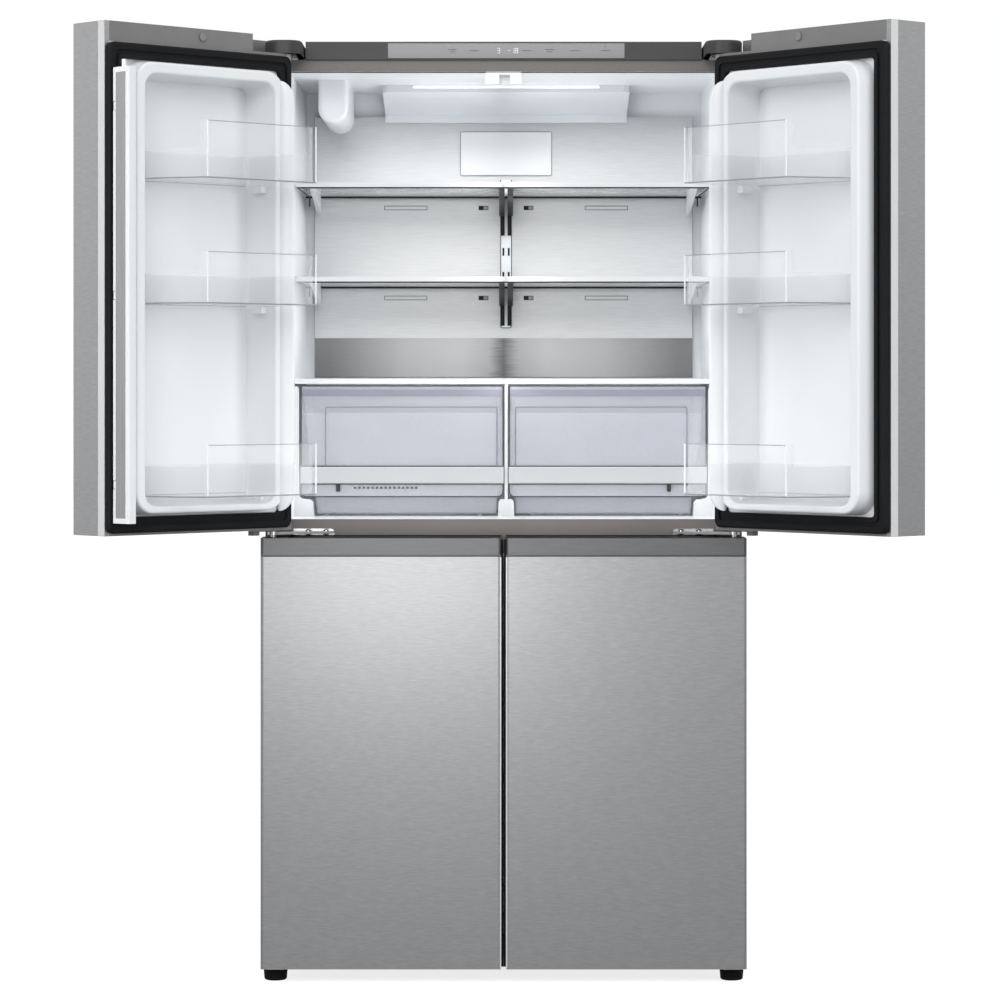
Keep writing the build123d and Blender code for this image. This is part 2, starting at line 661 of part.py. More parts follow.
def bracket(x, top, back, wall):
    """A cantilever bracket that deepens towards the back wall."""
    front = SHELF_FRONT_Y + SHELF_TRIM_DEPTH
    profile = [
        (front, top),
        (back, top),
        (back, top - BRACKET_BACK_HEIGHT),
        (back - BRACKET_BACK_HEIGHT / 2, top - BRACKET_BACK_HEIGHT),
        (front, top - BRACKET_FRONT_HEIGHT),
    ]
    return side_prism(profile, x - wall / 2, x + wall / 2)


def rail_hook(side, top, back):
    """The narrower tongue of a centre bracket, hanging down the face of the rail."""
    inner = FITTINGS_X + side * SHELF_CENTRE_GAP / 2
    outer = inner + side * CENTRE_HOOK_WALL
    profile = [
        (back, top),
        (back, top - CENTRE_HOOK_DROP),
        (back - CENTRE_HOOK_DEPTH / 2, top - CENTRE_HOOK_DROP),
        (back - CENTRE_HOOK_DEPTH, top),
    ]
    return side_prism(profile, min(inner, outer), max(inner, outer))


def build_shelves():
    """Four half-width glass shelves with trims and brackets, and the crisper cover."""
    panes = []
    trims = []
    brackets = []
    trim_back = SHELF_FRONT_Y + SHELF_TRIM_DEPTH
    rail_front = DUCT_FRONT_Y - RAIL_WALL
    for top in SHELF_TOPS_Z:
        glass_bottom = top - SHELF_GLASS_WALL
        for side in (-1, 1):
            front_edge = half_shelf_outline(side, SHELF_FRONT_Y, trim_back, SHELF_CENTRE_GAP)
            trim = plan_prism(front_edge, top - SHELF_TRIM_HEIGHT, top)
            trims.append(trim)
            pane = half_shelf_outline(side, trim_back, rail_front - SEAT_GAP, SHELF_CENTRE_GAP)
            panes.append(plan_prism(pane, glass_bottom, top))
            inner_x = FITTINGS_X + side * (SHELF_CENTRE_GAP + CENTRE_BRACKET_WALL) / 2
            outer_x = side * (DUCT_HALF - BRACKET_INSET)
            inner = bracket(inner_x, glass_bottom, rail_front, CENTRE_BRACKET_WALL)
            brackets.append(inner + rail_hook(side, glass_bottom - BRACKET_BACK_HEIGHT, rail_front))
            brackets.append(bracket(outer_x, glass_bottom, DUCT_FRONT_Y, BRACKET_WALL))
    nodes["shelf_front_trims"] = Compound(trims)
    nodes["shelf_brackets"] = Compound(brackets)

    cover_top = CRISPER_COVER_TOP_Z
    front = SHELF_FRONT_Y
    back = DUCT_FRONT_Y
    wide = fridge_half_width(front) - SEAT_GAP
    narrow = fridge_half_width(back) - SEAT_GAP
    outline = [(-wide, front), (wide, front), (narrow, back), (-narrow, back)]
    frame = plan_prism(outline, CRISPER_COVER_Z, cover_top)
    rim = CRISPER_COVER_RIM_WIDTH
    opening = [
        (-wide + rim, front + rim),
        (wide - rim, front + rim),
        (narrow - rim, back - rim),
        (-narrow + rim, back - rim),
    ]
    glass_seat = cover_top - SHELF_GLASS_WALL
    frame -= plan_prism(opening, glass_seat, cover_top)
    inner_rim = rim + SHELF_GLASS_WALL
    window = [
        (-wide + inner_rim, front + inner_rim),
        (wide - inner_rim, front + inner_rim),
        (narrow - inner_rim, back - inner_rim),
        (-narrow + inner_rim, back - inner_rim),
    ]
    frame -= plan_prism(window, CRISPER_COVER_Z, glass_seat)
    half_divider = CRISPER_DIVIDER_WIDTH / 2
    frame += block(
        FITTINGS_X - half_divider,
        FITTINGS_X + half_divider,
        front,
        CRISPER_BACK_Y,
        FRIDGE_FLOOR_Z,
        glass_seat,
    )
    nodes["crisper_cover_frame"] = frame
    panes.append(plan_prism(opening, glass_seat, cover_top))
    nodes["shelf_glass"] = Compound(panes)


def build_ceiling():
    """Lamp lens, filter housing and the block that guides the mullion."""
    lens_front = DUCT_FRONT_Y - LENS_DEPTH
    lip_front = DUCT_FRONT_Y - LENS_LIP_DEPTH
    lip_bottom = FRIDGE_CEILING_Z - LENS_BACK_HEIGHT
    lens_profile = [
        (lens_front, FRIDGE_CEILING_Z),
        (lens_front, FRIDGE_CEILING_Z - LENS_FRONT_HEIGHT),
        (lip_front, lip_bottom + LENS_LIP_HEIGHT),
        (lip_front, lip_bottom),
        (DUCT_FRONT_Y, lip_bottom),
        (DUCT_FRONT_Y, FRIDGE_CEILING_Z),
    ]
    lens = side_prism(lens_profile, FITTINGS_X - LENS_WIDTH / 2, FITTINGS_X + LENS_WIDTH / 2)
    front_edges = lens.edges().filter_by(Axis.Z).group_by(Axis.Y)[0]
    nodes["lamp_lens"] = fillet(front_edges, LENS_FRONT_HEIGHT)

    front = FRONT + FILTER_SETBACK
    profile = Plane.XZ * Rot(0, 0, 90) * SlotOverall(2 * FILTER_HEIGHT, 2 * FILTER_R)
    housing_place = Pos(FILTER_X, front, FRIDGE_CEILING_Z)
    housing = extrude(housing_place * profile, DUCT_FRONT_Y - front, dir=(0, 1, 0))
    housing = fillet(housing.faces().sort_by(Axis.Y)[0].edges(), FILTER_NOSE_R)
    nodes["filter_housing"] = housing - block(
        FILTER_X - FILTER_R,
        FILTER_X + FILTER_R,
        front,
        DUCT_FRONT_Y,
        FRIDGE_CEILING_Z,
        FRIDGE_CEILING_Z + FILTER_HEIGHT,
    )

    guide_front = FRONT + GUIDE_SETBACK
    guide_bottom = MULLION_TOP_Z + RUN_GAP + MULLION_CORNER_R
    guide = block(
        -GUIDE_WIDTH / 2,
        GUIDE_WIDTH / 2,
        guide_front,
        guide_front + GUIDE_DEPTH,
        guide_bottom,
        FRIDGE_CEILING_Z,
    )
    guide = fillet(guide.edges().filter_by(Axis.Z), 2 * MULLION_CORNER_R)
    guide -= block(
        GUIDE_SLOT_LEFT_X,
        GUIDE_SLOT_RIGHT_X,
        FRONT,
        guide_front + GUIDE_SLOT_DEPTH,
        guide_bottom,
        FRIDGE_CEILING_Z - GUIDE_ROOF_WALL,
    )
    nodes["mullion_guide"] = guide


def crisper_outline(side, inset, narrowing):
    """Plan of a crisper, its walls moved in by an inset and the outer one by a narrowing as well."""
    front = SHELF_FRONT_Y + inset
    back = CRISPER_BACK_Y - inset
    inner = FITTINGS_X + side * (CRISPER_DIVIDER_WIDTH / 2 + CRISPER_SIDE_GAP + inset)
    return [
        (inner, front),
        (side * (crisper_outer_x(front) - inset - narrowing), front),
        (side * (crisper_outer_x(back) - inset - narrowing), back),
        (inner, back),
    ]


def crisper_shell(side, inset, bottom):
    """A tub that widens from its floor to its rim."""
    foot = inset + CRISPER_FOOT_TAPER
    rim = make_face(Polyline(*crisper_outline(side, inset, 0), close=True))
    floor = make_face(Polyline(*crisper_outline(side, foot, CRISPER_FOOT_NARROWING), close=True))
    return loft([Pos(0, 0, bottom) * floor, Pos(0, 0, CRISPER_TOP_Z) * rim], ruled=True)


def build_crisper(side, name):
    """One crisper drawer with its handle strip and humidity slider."""
    tub = crisper_shell(side, 0, CRISPER_BOTTOM_Z)
    tub -= crisper_shell(side, CRISPER_WALL, CRISPER_BOTTOM_Z + CRISPER_WALL)
    front = SHELF_FRONT_Y
    inner = FITTINGS_X + side * (CRISPER_DIVIDER_WIDTH / 2 + CRISPER_SIDE_GAP)
    outer = side * crisper_outer_x(front)
    low_x = min(inner, outer)
    high_x = max(inner, outer)
    face_back = front + CRISPER_WALL
    face = block(low_x, high_x, front, face_back, CRISPER_FACE_Z, CRISPER_TOP_Z)
    face = fillet(face.edges().filter_by(Axis.Y).group_by(Axis.Z)[0], CRISPER_FACE_CORNER_R)
    ledge = block(
        low_x + CRISPER_FACE_CORNER_R,
        high_x - CRISPER_FACE_CORNER_R,
        face_back,
        face_back + CRISPER_FOOT_TAPER,
        CRISPER_FACE_Z,
        CRISPER_FACE_Z + CRISPER_WALL,
    )
    ledge -= crisper_shell(side, CRISPER_WALL, CRISPER_BOTTOM_Z + CRISPER_WALL)
    nodes[f"{name}_crisper"] = tub + face + ledge

    handle = block(
        low_x,
        high_x,
        front - CRISPER_HANDLE_WALL,
        front,
        CRISPER_HANDLE_Z,
        CRISPER_HANDLE_Z + CRISPER_HANDLE_HEIGHT,
    )
    handle = fillet(handle.edges().filter_by(Axis.X).group_by(Axis.Y)[0], CRISPER_HANDLE_EDGE_R)
    nodes[f"{name}_crisper_handle"] = handle

    slider_top = CRISPER_HANDLE_Z - RUN_GAP
    slider_x = side * (crisper_outer_x(front) - SLIDER_INSET)
    slider = block(
        slider_x - SLIDER_WIDTH / 2,
        slider_x + SLIDER_WIDTH / 2,
        front - SEAT_GAP - SLIDER_WALL,
        front - SEAT_GAP,
        slider_top - SLIDER_HEIGHT,
        slider_top,
    )
    nodes[f"{name}_humidity_slider"] = fillet(slider.edges().filter_by(Axis.Y), SLIDER_CORNER_R)


def door_block(z0, z1, inset):
    """A door's outside moved in by an inset: round front edges, a bevel beside the hinge."""
    shape = block(
        DOOR_OUTER_U + inset, DOOR_FREE_U - inset, DOOR_FRONT_V + inset, DOOR_BACK_V - inset, z0, z1
    )
    shape = fillet(shape.edges().filter_by(Axis.Z).group_by(Axis.Y)[0], DOOR_CORNER_R - inset)
    hinge_edge = shape.edges().filter_by(Axis.Z).group_by(Axis.Y)[-1].sort_by(Axis.X)[0]
    return chamfer(hinge_edge, DOOR_HINGE_CHAMFER - inset * BEVEL_SHARE)


def door_back_gap(z0, z1):
    """The opening between the lips at the back of the skin."""
    start = DOOR_OUTER_U + DOOR_HINGE_CHAMFER + SKIN_LIP_WIDTH
    return block(start, DOOR_FREE_U - SKIN_LIP_WIDTH, DOOR_BACK_V - SHEET_WALL, DOOR_BACK_V, z0, z1)


def door_skin(z0, z1):
    """Folded steel skin: front, two sides and the lips behind."""
    return door_block(z0, z1, 0) - door_block(z0, z1, SHEET_WALL) - door_back_gap(z0, z1)


def door_fill(z0, z1):
    """What fills the skin, flush with its lips behind."""
    return door_block(z0, z1, SHEET_WALL) + door_back_gap(z0, z1)


def upright_rectangle(u0, u1, z0, z1, v, radius):
    """A rounded rectangle standing at a depth v, facing inward."""
    plane = Plane(origin=((u0 + u1) / 2, v, (z0 + z1) / 2), x_dir=(1, 0, 0), z_dir=(0, 1, 0))
    return plane * RectangleRounded(u1 - u0, z1 - z0, radius)


def gasket_bounds(z0, z1, bottom_margin, top_margin):
    """Outer corners of a door's gasket."""
    return GASKET_OUTER_U, GASKET_FREE_U, z0 + bottom_margin, z1 - top_margin


def upper_gasket_bounds():
    """Outer corners of an upper door's gasket."""
    return gasket_bounds(
        UPPER_DOOR_BOTTOM_Z, UPPER_DOOR_TOP_Z, UPPER_GASKET_BOTTOM_MARGIN, UPPER_GASKET_TOP_MARGIN
    )


def door_gasket(bounds):
    """A magnetic gasket with a bevelled outer edge and a bellows groove along its middle."""
    u0, u1, z0, z1 = bounds
    inward = (0, 1, 0)

    def loop(margin, v):
        radius = GASKET_CORNER_R - margin * GASKET_CORNER_SHARE
        return upright_rectangle(u0 + margin, u1 - margin, z0 + margin, z1 - margin, v, radius)

    bevel_v = GASKET_TOP_V - GASKET_BEVEL
    ring = extrude(loop(0, DOOR_BACK_V), bevel_v - DOOR_BACK_V, dir=inward)
    ring += extrude(loop(0, bevel_v), GASKET_BEVEL, dir=inward, taper=GASKET_BEVEL_ANGLE)
    ring -= extrude(loop(GASKET_WIDTH, DOOR_BACK_V), GASKET_HEIGHT, dir=inward)
    groove_v = GASKET_TOP_V - GASKET_GROOVE_DEPTH
    groove = loop(GASKET_GROOVE_MARGIN, groove_v) - loop(GASKET_GROOVE_MARGIN + GASKET_GROOVE_WIDTH, groove_v)
    return ring - extrude(groove, GASKET_GROOVE_DEPTH, dir=inward)


def dike_bounds(bounds):
    """Outer corners of the moulded ridge inside the gasket."""
    u0, u1, z0, z1 = bounds
    width = GASKET_WIDTH
    return (
        u0 + width + DIKE_HINGE_GAP,
        u1 - width - DIKE_EDGE_GAP,
        z0 + width + DIKE_EDGE_GAP,
        z1 - width - DIKE_EDGE_GAP,
    )


def door_liner(z0, z1, bounds, ridge_v, recess_v):
    """Inner panel with its foam: a slab, a ridge all round and a recess inside it."""
    slab = door_fill(z0, z1)
    u0, u1, low, high = dike_bounds(bounds)
    outer = upright_rectangle(u0, u1, low, high, DOOR_BACK_V, DIKE_CORNER_R)
    panel = slab + extrude(outer, ridge_v - DOOR_BACK_V, dir=(0, 1, 0), taper=DIKE_DRAFT_ANGLE)
    mouth = upright_rectangle(
        u0 + DIKE_RIDGE_WIDTH,
        u1 - DIKE_RIDGE_WIDTH,
        low + DIKE_BOTTOM_WIDTH,
        high - DIKE_RIDGE_WIDTH,
        ridge_v,
        RECESS_CORNER_R,
    )
    panel -= extrude(mouth, ridge_v - recess_v, dir=(0, -1, 0), taper=DIKE_DRAFT_ANGLE)
    rim = panel.edges().group_by(Axis.Y)[-1]
    return fillet(rim, DIKE_FILLET_R)


def bin_outline(inset):
    """Plan of a door bin, its walls moved in by an inset."""
    outline = make_face(
        Polyline(
            (BIN_HINGE_U, BIN_BACK_V),
            (BIN_FRONT_HINGE_U, BIN_FRONT_V),
            (BIN_FRONT_FREE_U, BIN_FRONT_V),
            (BIN_FREE_U, BIN_BEND_V),
            (BIN_FREE_U, BIN_BACK_V),
            close=True,
        )
    )
    outline = fillet(outline.vertices(), BIN_CORNER_R)
    if inset:
        outline = offset(outline, -inset)
    return outline


def door_bin(floor, height):
    """A clear open-topped bin with a tall front, a thicker rim and lower sides."""
    up = (0, 0, 1)
    outside = extrude(Pos(0, 0, floor) * bin_outline(0), height, dir=up)
    inside = extrude(Pos(0, 0, floor + BIN_WALL) * bin_outline(BIN_WALL + BIN_RIM_WIDTH), height, dir=up)
    hollow_height = height - BIN_WALL - BIN_RIM_HEIGHT
    hollow = extrude(Pos(0, 0, floor + BIN_WALL) * bin_outline(BIN_WALL), hollow_height, dir=up)
    above_sides = block(
        BIN_FRONT_HINGE_U,
        BIN_FREE_U,
        BIN_BACK_V,
        BIN_FRONT_V - BIN_CORNER_R,
        floor + BIN_SIDE_HEIGHT,
        floor + height,
    )
    return outside - inside - hollow - above_sides


def bin_lugs(bounds):
    """The moulded lugs that the bins hang on, two under each bin."""
    u0, u1, low, high = dike_bounds(bounds)
    start = UPPER_DIKE_V - DIKE_RIDGE_WIDTH - LUG_LENGTH
    lugs = []
    for floor in BIN_FLOORS_Z:
        top = floor - SEAT_GAP
        for wall, reach in ((u0 + DIKE_RIDGE_WIDTH, LUG_DEPTH), (u1 - DIKE_RIDGE_WIDTH, -LUG_DEPTH)):
            lug_u = sorted((wall - reach / 2, wall + reach))
            lugs.append(block(lug_u[0], lug_u[1], start, start + LUG_LENGTH, top - LUG_HEIGHT, top))
    return lugs


def upper_notch():
    """The room that the hinge cover takes from the top of an upper door."""
    floor = UPPER_DOOR_TOP_Z - TOP_NOTCH_DEPTH
    return block(DOOR_OUTER_U, TOP_NOTCH_U, TOP_NOTCH_V, DOOR_BACK_V, floor, UPPER_DOOR_TOP_Z)


def hinge_bore(z0, z1):
    """The hole for a hinge pin."""
    return post(0, 0, z0, z1, HINGE_PIN_R + SEAT_GAP)


def grip_groove(back, z0, z1):
    """The finger groove along the edge of a door."""
    front = DOOR_MIDDLE_V - GRIP_WIDTH / 2
    return block(GRIP_START_U, DOOR_FREE_U - GRIP_END_MARGIN, front, back, z0, z1)


def cap_groove(z):
    """The shadow groove between a grip cap and the skin under it."""
    back = DOOR_FRONT_V + CAP_GROOVE_DEPTH
    return block(DOOR_OUTER_U, DOOR_FREE_U, DOOR_FRONT_V, back, z, z + CAP_GROOVE_HEIGHT)


def cap_plug():
    """The round plug in the back of an upper door's top cap."""
    middle = (DOOR_OUTER_U + DOOR_FREE_U) / 2
    plug = Rot(90, 0, 0) * Cylinder(CAP_PLUG_R, CAP_PLUG_HEIGHT)
    plug = chamfer(plug.edges().group_by(Axis.Y)[-1], CAP_PLUG_HEIGHT / 3)
    return Pos(middle, DOOR_BACK_V + CAP_PLUG_HEIGHT / 2, UPPER_DOOR_TOP_Z - CAP_PLUG_DROP_Z) * plug


def door_stop(high):
    """The strap and stop under an upper door, round the pin of the middle hinge."""
    low = MID_HINGE_Z + HINGE_PLATE_WALL + RUN_GAP
    strap = block(0, STOP_END_U, STOP_FRONT_V, STOP_BACK_V, low, high) + post(0, 0, low, high, HINGE_EYE_R)
    stop_u = STOP_END_U - STOP_BLOCK_LENGTH
    stop = block(stop_u, STOP_END_U, STOP_FRONT_V, STOP_BACK_V, high - STOP_BLOCK_HEIGHT, high)
    return strap + stop - hinge_bore(low, high)


def upper_door():
    """The pieces of an upper door, hinge axis on Z, seen as a left door."""
    z0 = UPPER_DOOR_BOTTOM_Z
    z1 = UPPER_DOOR_TOP_Z
    fill_low = z0 + UPPER_BOTTOM_CAP_HEIGHT
    fill_high = z1 - UPPER_TOP_CAP_HEIGHT
    pin_end = z1 - TOP_NOTCH_DEPTH - HINGE_PIN_LENGTH
    bounds = upper_gasket_bounds()
    top_cap = door_fill(fill_high, z1) + cap_plug() - upper_notch() - hinge_bore(fill_high, z1)
    bottom_cap = door_fill(z0, fill_low) - hinge_bore(z0, fill_low)
    bottom_cap -= grip_groove(DOOR_MIDDLE_V + GRIP_WIDTH / 2, z0, z0 + GRIP_DEPTH)
    bottom_cap += door_stop(z0)
    liner = door_liner(fill_low, fill_high, bounds, UPPER_DIKE_V, UPPER_RECESS_V)
    liner = liner + bin_lugs(bounds)
    liner -= hinge_bore(pin_end - RUN_GAP, fill_high)
    liner -= hinge_bore(fill_low, MID_HINGE_Z + HINGE_PLATE_WALL + HINGE_PIN_LENGTH + RUN_GAP)
    pieces = {
        "skin": door_skin(z0, z1) - upper_notch(),
        "end_caps": Compound([top_cap, bottom_cap]),
        "liner": liner,
        "gasket": door_gasket(bounds),
    }
    for name, floor, height in zip(BIN_NAMES, BIN_FLOORS_Z, BIN_HEIGHTS):
        pieces[f"{name}_bin"] = door_bin(floor, height)
    return pieces


def lower_door():
    """The pieces of a lower door, hinge axis on Z, seen as a left door."""
    z0 = LOWER_DOOR_BOTTOM_Z
    z1 = LOWER_DOOR_TOP_Z
    fill_low = z0 + LOWER_BOTTOM_CAP_HEIGHT
    fill_high = z1 - LOWER_GRIP_CAP_HEIGHT
    bounds = gasket_bounds(z0, z1, LOWER_GASKET_BOTTOM_MARGIN, LOWER_GASKET_TOP_MARGIN)
    pin_end = MID_HINGE_Z - HINGE_PIN_LENGTH - RUN_GAP
    grip_cap = door_block(fill_high, z1, 0) - hinge_bore(pin_end, z1)
    grip_cap = grip_cap - grip_groove(DOOR_BACK_V, z1 - GRIP_DEPTH, z1) - cap_groove(fill_high)
    bottom_cap = door_fill(z0, fill_low) - hinge_bore(z0, fill_low)
    return {
        "skin": door_skin(z0, fill_high),
        "end_caps": Compound([grip_cap, bottom_cap]),
        "liner": door_liner(fill_low, fill_high, bounds, LOWER_DIKE_V, LOWER_RECESS_V),
        "gasket": door_gasket(bounds),
    }


def mullion_arm(z, bounds):
    """A hinge arm that reaches from the left door's ridge to the mullion's pin."""
    wall_u = dike_bounds(bounds)[1] - DIKE_RIDGE_WIDTH / 2
    half = MULLION_ARM_R
    low = z - MULLION_ARM_HEIGHT / 2
    high = z + MULLION_ARM_HEIGHT / 2
    bar = block(wall_u, MULLION_PIVOT_U, MULLION_PIVOT_V - half, MULLION_PIVOT_V + half, low, high)
    eye = post(MULLION_PIVOT_U, MULLION_PIVOT_V, low, high, half)
    return bar + eye - post(MULLION_PIVOT_U, MULLION_PIVOT_V, low, high, MULLION_PIN_R + SEAT_GAP)


def mullion_pieces():
    """The mullion folded against the left door, hinge axis of the door on Z."""
    u0 = MULLION_PIVOT_U - MULLION_INNER_WIDTH
    u1 = MULLION_PIVOT_U + MULLION_OUTER_WIDTH
    v0 = MULLION_PIVOT_V - MULLION_HEEL_DEPTH
    v1 = MULLION_PIVOT_V + MULLION_REACH_DEPTH
    bar = block(u0, u1, v0, v1, MULLION_BOTTOM_Z, MULLION_TOP_Z)
    bar = fillet(bar.edges().filter_by(Axis.Z), MULLION_CORNER_R)
    face_seat = u1 - MULLION_FACE_WALL
    face = block(
        face_seat,
        u1,
        v0 + MULLION_FACE_MARGIN,
        v1 - MULLION_FACE_MARGIN,
        MULLION_BOTTOM_Z + MULLION_FACE_MARGIN,
        MULLION_TOP_Z - MULLION_FACE_MARGIN,
    )
    bar -= face
    clear = MULLION_ARM_R + RUN_GAP
    for z in MULLION_ARMS_Z:
        low = z - MULLION_ARM_HEIGHT / 2 - RUN_GAP
        high = z + MULLION_ARM_HEIGHT / 2 + RUN_GAP
        bar -= post(MULLION_PIVOT_U, MULLION_PIVOT_V, low, high, clear)
        bar -= block(u0, MULLION_PIVOT_U, v0, MULLION_PIVOT_V + clear, low, high)
        bar -= block(u0, MULLION_PIVOT_U + clear, v0, MULLION_PIVOT_V, low, high)
        bar += post(MULLION_PIVOT_U, MULLION_PIVOT_V, low, high, MULLION_PIN_R)
    pin_u = MULLION_PIVOT_U - MULLION_PIN_R
    pin_v = MULLION_PIVOT_V + (HINGE_X - MULLION_PIVOT_U)
    bar += post(pin_u, pin_v, MULLION_TOP_Z, MULLION_TOP_Z + MULLION_GUIDE_PIN_HEIGHT, MULLION_GUIDE_PIN_R)
    return bar, face


def place_left(shape, angle):
    """Set a piece of a left door on its hinge axis, opened by an angle."""
    return Pos(-HINGE_X, HINGE_Y, 0) * Rot(0, 0, -angle) * shape


def place_right(shape, angle):
    """Set the mirror image of a left door's piece on the right hinge axis."""
    return Pos(HINGE_X, HINGE_Y, 0) * Rot(0, 0, angle) * mirror(shape, about=Plane.YZ)


def build_doors():
    """Both upper doors, the mullion and both lower doors."""
    bounds = upper_gasket_bounds()
    for name, piece in upper_door().items():
        nodes[f"right_door_{name}"] = place_right(piece, RIGHT_DOOR_ANGLE)
        if name == "liner":
            piece = piece + [mullion_arm(z, bounds) for z in MULLION_ARMS_Z]
        nodes[f"left_door_{name}"] = place_left(piece, LEFT_DOOR_ANGLE)
    bar, face = mullion_pieces()
    nodes["mullion_bar"] = place_left(bar, LEFT_DOOR_ANGLE)
    nodes["mullion_face"] = place_left(face, LEFT_DOOR_ANGLE)
    for name, piece in lower_door().items():
        nodes[f"lower_left_door_{name}"] = place_left(piece, 0)
        nodes[f"lower_right_door_{name}"] = place_right(piece, 0)


def top_hinge():
    """Plate on the cabinet's roof with the pin into the upper door, left side."""
    low = UPPER_DOOR_TOP_Z - TOP_NOTCH_DEPTH + RUN_GAP
    half = TOP_HINGE_WIDTH / 2
    centre = -HINGE_X + HINGE_COVER_OFFSET_X
    plate = block(centre - half, centre + half, HINGE_Y, FRONT + TOP_HINGE_DEPTH, low, low + HINGE_PLATE_WALL)
    plate += post(-HINGE_X, HINGE_Y, low, low + HINGE_PLATE_WALL, HINGE_EYE_R)
    foot = block(centre - half, centre + half, FRONT + half, FRONT + TOP_HINGE_DEPTH, CABINET_TOP_Z, low)
    pin = post(-HINGE_X, HINGE_Y, low - HINGE_PIN_LENGTH, low, HINGE_PIN_R)
    return plate + foot + pin


def mid_hinge():
    """Bracket on the middle rail with pins up and down, left side."""
    low = MID_HINGE_Z
    high = low + HINGE_PLATE_WALL
    inner = MID_HINGE_LENGTH - HINGE_X
    outline = [
        (-HINGE_X, HINGE_Y - HINGE_EYE_R),
        (inner, FRONT - HINGE_EYE_R),
        (inner, FRONT),
        (-HINGE_X, FRONT),
    ]
    arm = plan_prism(outline, low, high) + post(-HINGE_X, HINGE_Y, low, high, HINGE_EYE_R)
    foot = block(
        inner - MID_HINGE_FOOT_WIDTH,
        inner,
        FRONT - MID_HINGE_FOOT_WALL,
        FRONT,
        low - MID_HINGE_FOOT_HEIGHT / 2,
        low + MID_HINGE_FOOT_HEIGHT / 2,
    )
    foot = fillet(foot.edges().filter_by(Axis.Y).group_by(Axis.X)[-1], MID_HINGE_FOOT_R)
    pin = post(-HINGE_X, HINGE_Y, low - HINGE_PIN_LENGTH, high + HINGE_PIN_LENGTH, HINGE_PIN_R)
    return arm + foot + pin


def bottom_hinge():
    """Bracket under the cabinet with the lower door's pin and the foot's thread, left side."""
    high = LOWER_DOOR_BOTTOM_Z - RUN_GAP
    low = high - HINGE_PLATE_WALL
    outer = -HINGE_X - HINGE_EYE_R
    inner = -BOTTOM_HINGE_INNER_X
    front = FOOT_Y - FOOT_STEM_R - HINGE_PLATE_WALL
    back = FRONT + BOTTOM_HINGE_DEPTH
    plate = block(outer, inner, front, back, low, high)
    plate = fillet(plate.edges().filter_by(Axis.Z).group_by(Axis.Y)[0], FOOT_STEM_R)
    foot = block(outer, inner, FRONT, back, high, CABINET_BOTTOM_Z)
    stem_hole = post(-FOOT_X, FOOT_Y, low, high, FOOT_STEM_R + SEAT_GAP)
    pin = post(-HINGE_X, HINGE_Y, high, high + LOWER_BOTTOM_CAP_HEIGHT, HINGE_PIN_R)
    return plate + foot + pin - stem_hole


def hinge_cover():
    """Rounded cap over the top hinge, open underneath, left side."""
    low_x = HINGE_COVER_OFFSET_X - HINGE_X - HINGE_COVER_WIDTH / 2
    high_x = low_x + HINGE_COVER_WIDTH
    front = HINGE_Y - HINGE_COVER_NOSE_LENGTH
    back = FRONT + HINGE_COVER_DEPTH
    low = UPPER_DOOR_TOP_Z - TOP_NOTCH_DEPTH + RUN_GAP
    outside = block(low_x, high_x, front, back, low, HINGE_COVER_TOP_Z)
    outside = fillet(outside.edges().filter_by(Axis.Z).group_by(Axis.Y)[0], HINGE_COVER_NOSE_R)
    outside = fillet(outside.edges().group_by(Axis.Z)[-1], HINGE_COVER_EDGE_R)
    skirt = block(low_x, high_x, FRONT + RUN_GAP, back, CABINET_TOP_Z, low)
    hollow = block(
        low_x + HINGE_COVER_WALL,
        high_x - HINGE_COVER_WALL,
        front + HINGE_COVER_WALL,
        back - HINGE_COVER_WALL,
        CABINET_TOP_Z,
        HINGE_COVER_TOP_Z - HINGE_COVER_EDGE_R,
    )
    nose_edges = hollow.edges().filter_by(Axis.Z).group_by(Axis.Y)[0]
    hollow = fillet(nose_edges, HINGE_COVER_NOSE_R - HINGE_COVER_WALL)
    return outside + skirt - hollow


def build_hinges():
    """All door hinges and the covers over the top ones."""
    nodes["door_hinges"] = Compound(
        both_sides(top_hinge()) + both_sides(mid_hinge()) + both_sides(bottom_hinge())
    )
    nodes["hinge_covers"] = Compound(both_sides(hinge_cover()))


def build_top():
    """Top cover along the front of the roof with the display panel in its face."""
    half = HINGE_X - HINGE_COVER_OFFSET_X - HINGE_COVER_WIDTH / 2 - TOP_COVER_SIDE_GAP
    front = FRONT - TOP_COVER_NOSE_DEPTH
    back = front + TOP_COVER_DEPTH
    top = CABINET_TOP_Z + TOP_COVER_HEIGHT
    profile = [
        (front, CABINET_TOP_Z),
        (front, top),
        (back - TOP_COVER_HEIGHT, top),
        (back, CABINET_TOP_Z),
    ]
    cover = side_prism(profile, -half, half)
    middle = CABINET_TOP_Z + TOP_COVER_HEIGHT / 2
    panel = block(
        FITTINGS_X - DISPLAY_WIDTH / 2,
        FITTINGS_X + DISPLAY_WIDTH / 2,
        front,
        front + DISPLAY_WALL,
        middle - DISPLAY_HEIGHT / 2,
        middle + DISPLAY_HEIGHT / 2,
    )
    nodes["top_cover"] = cover - panel
    nodes["display_panel"] = panel


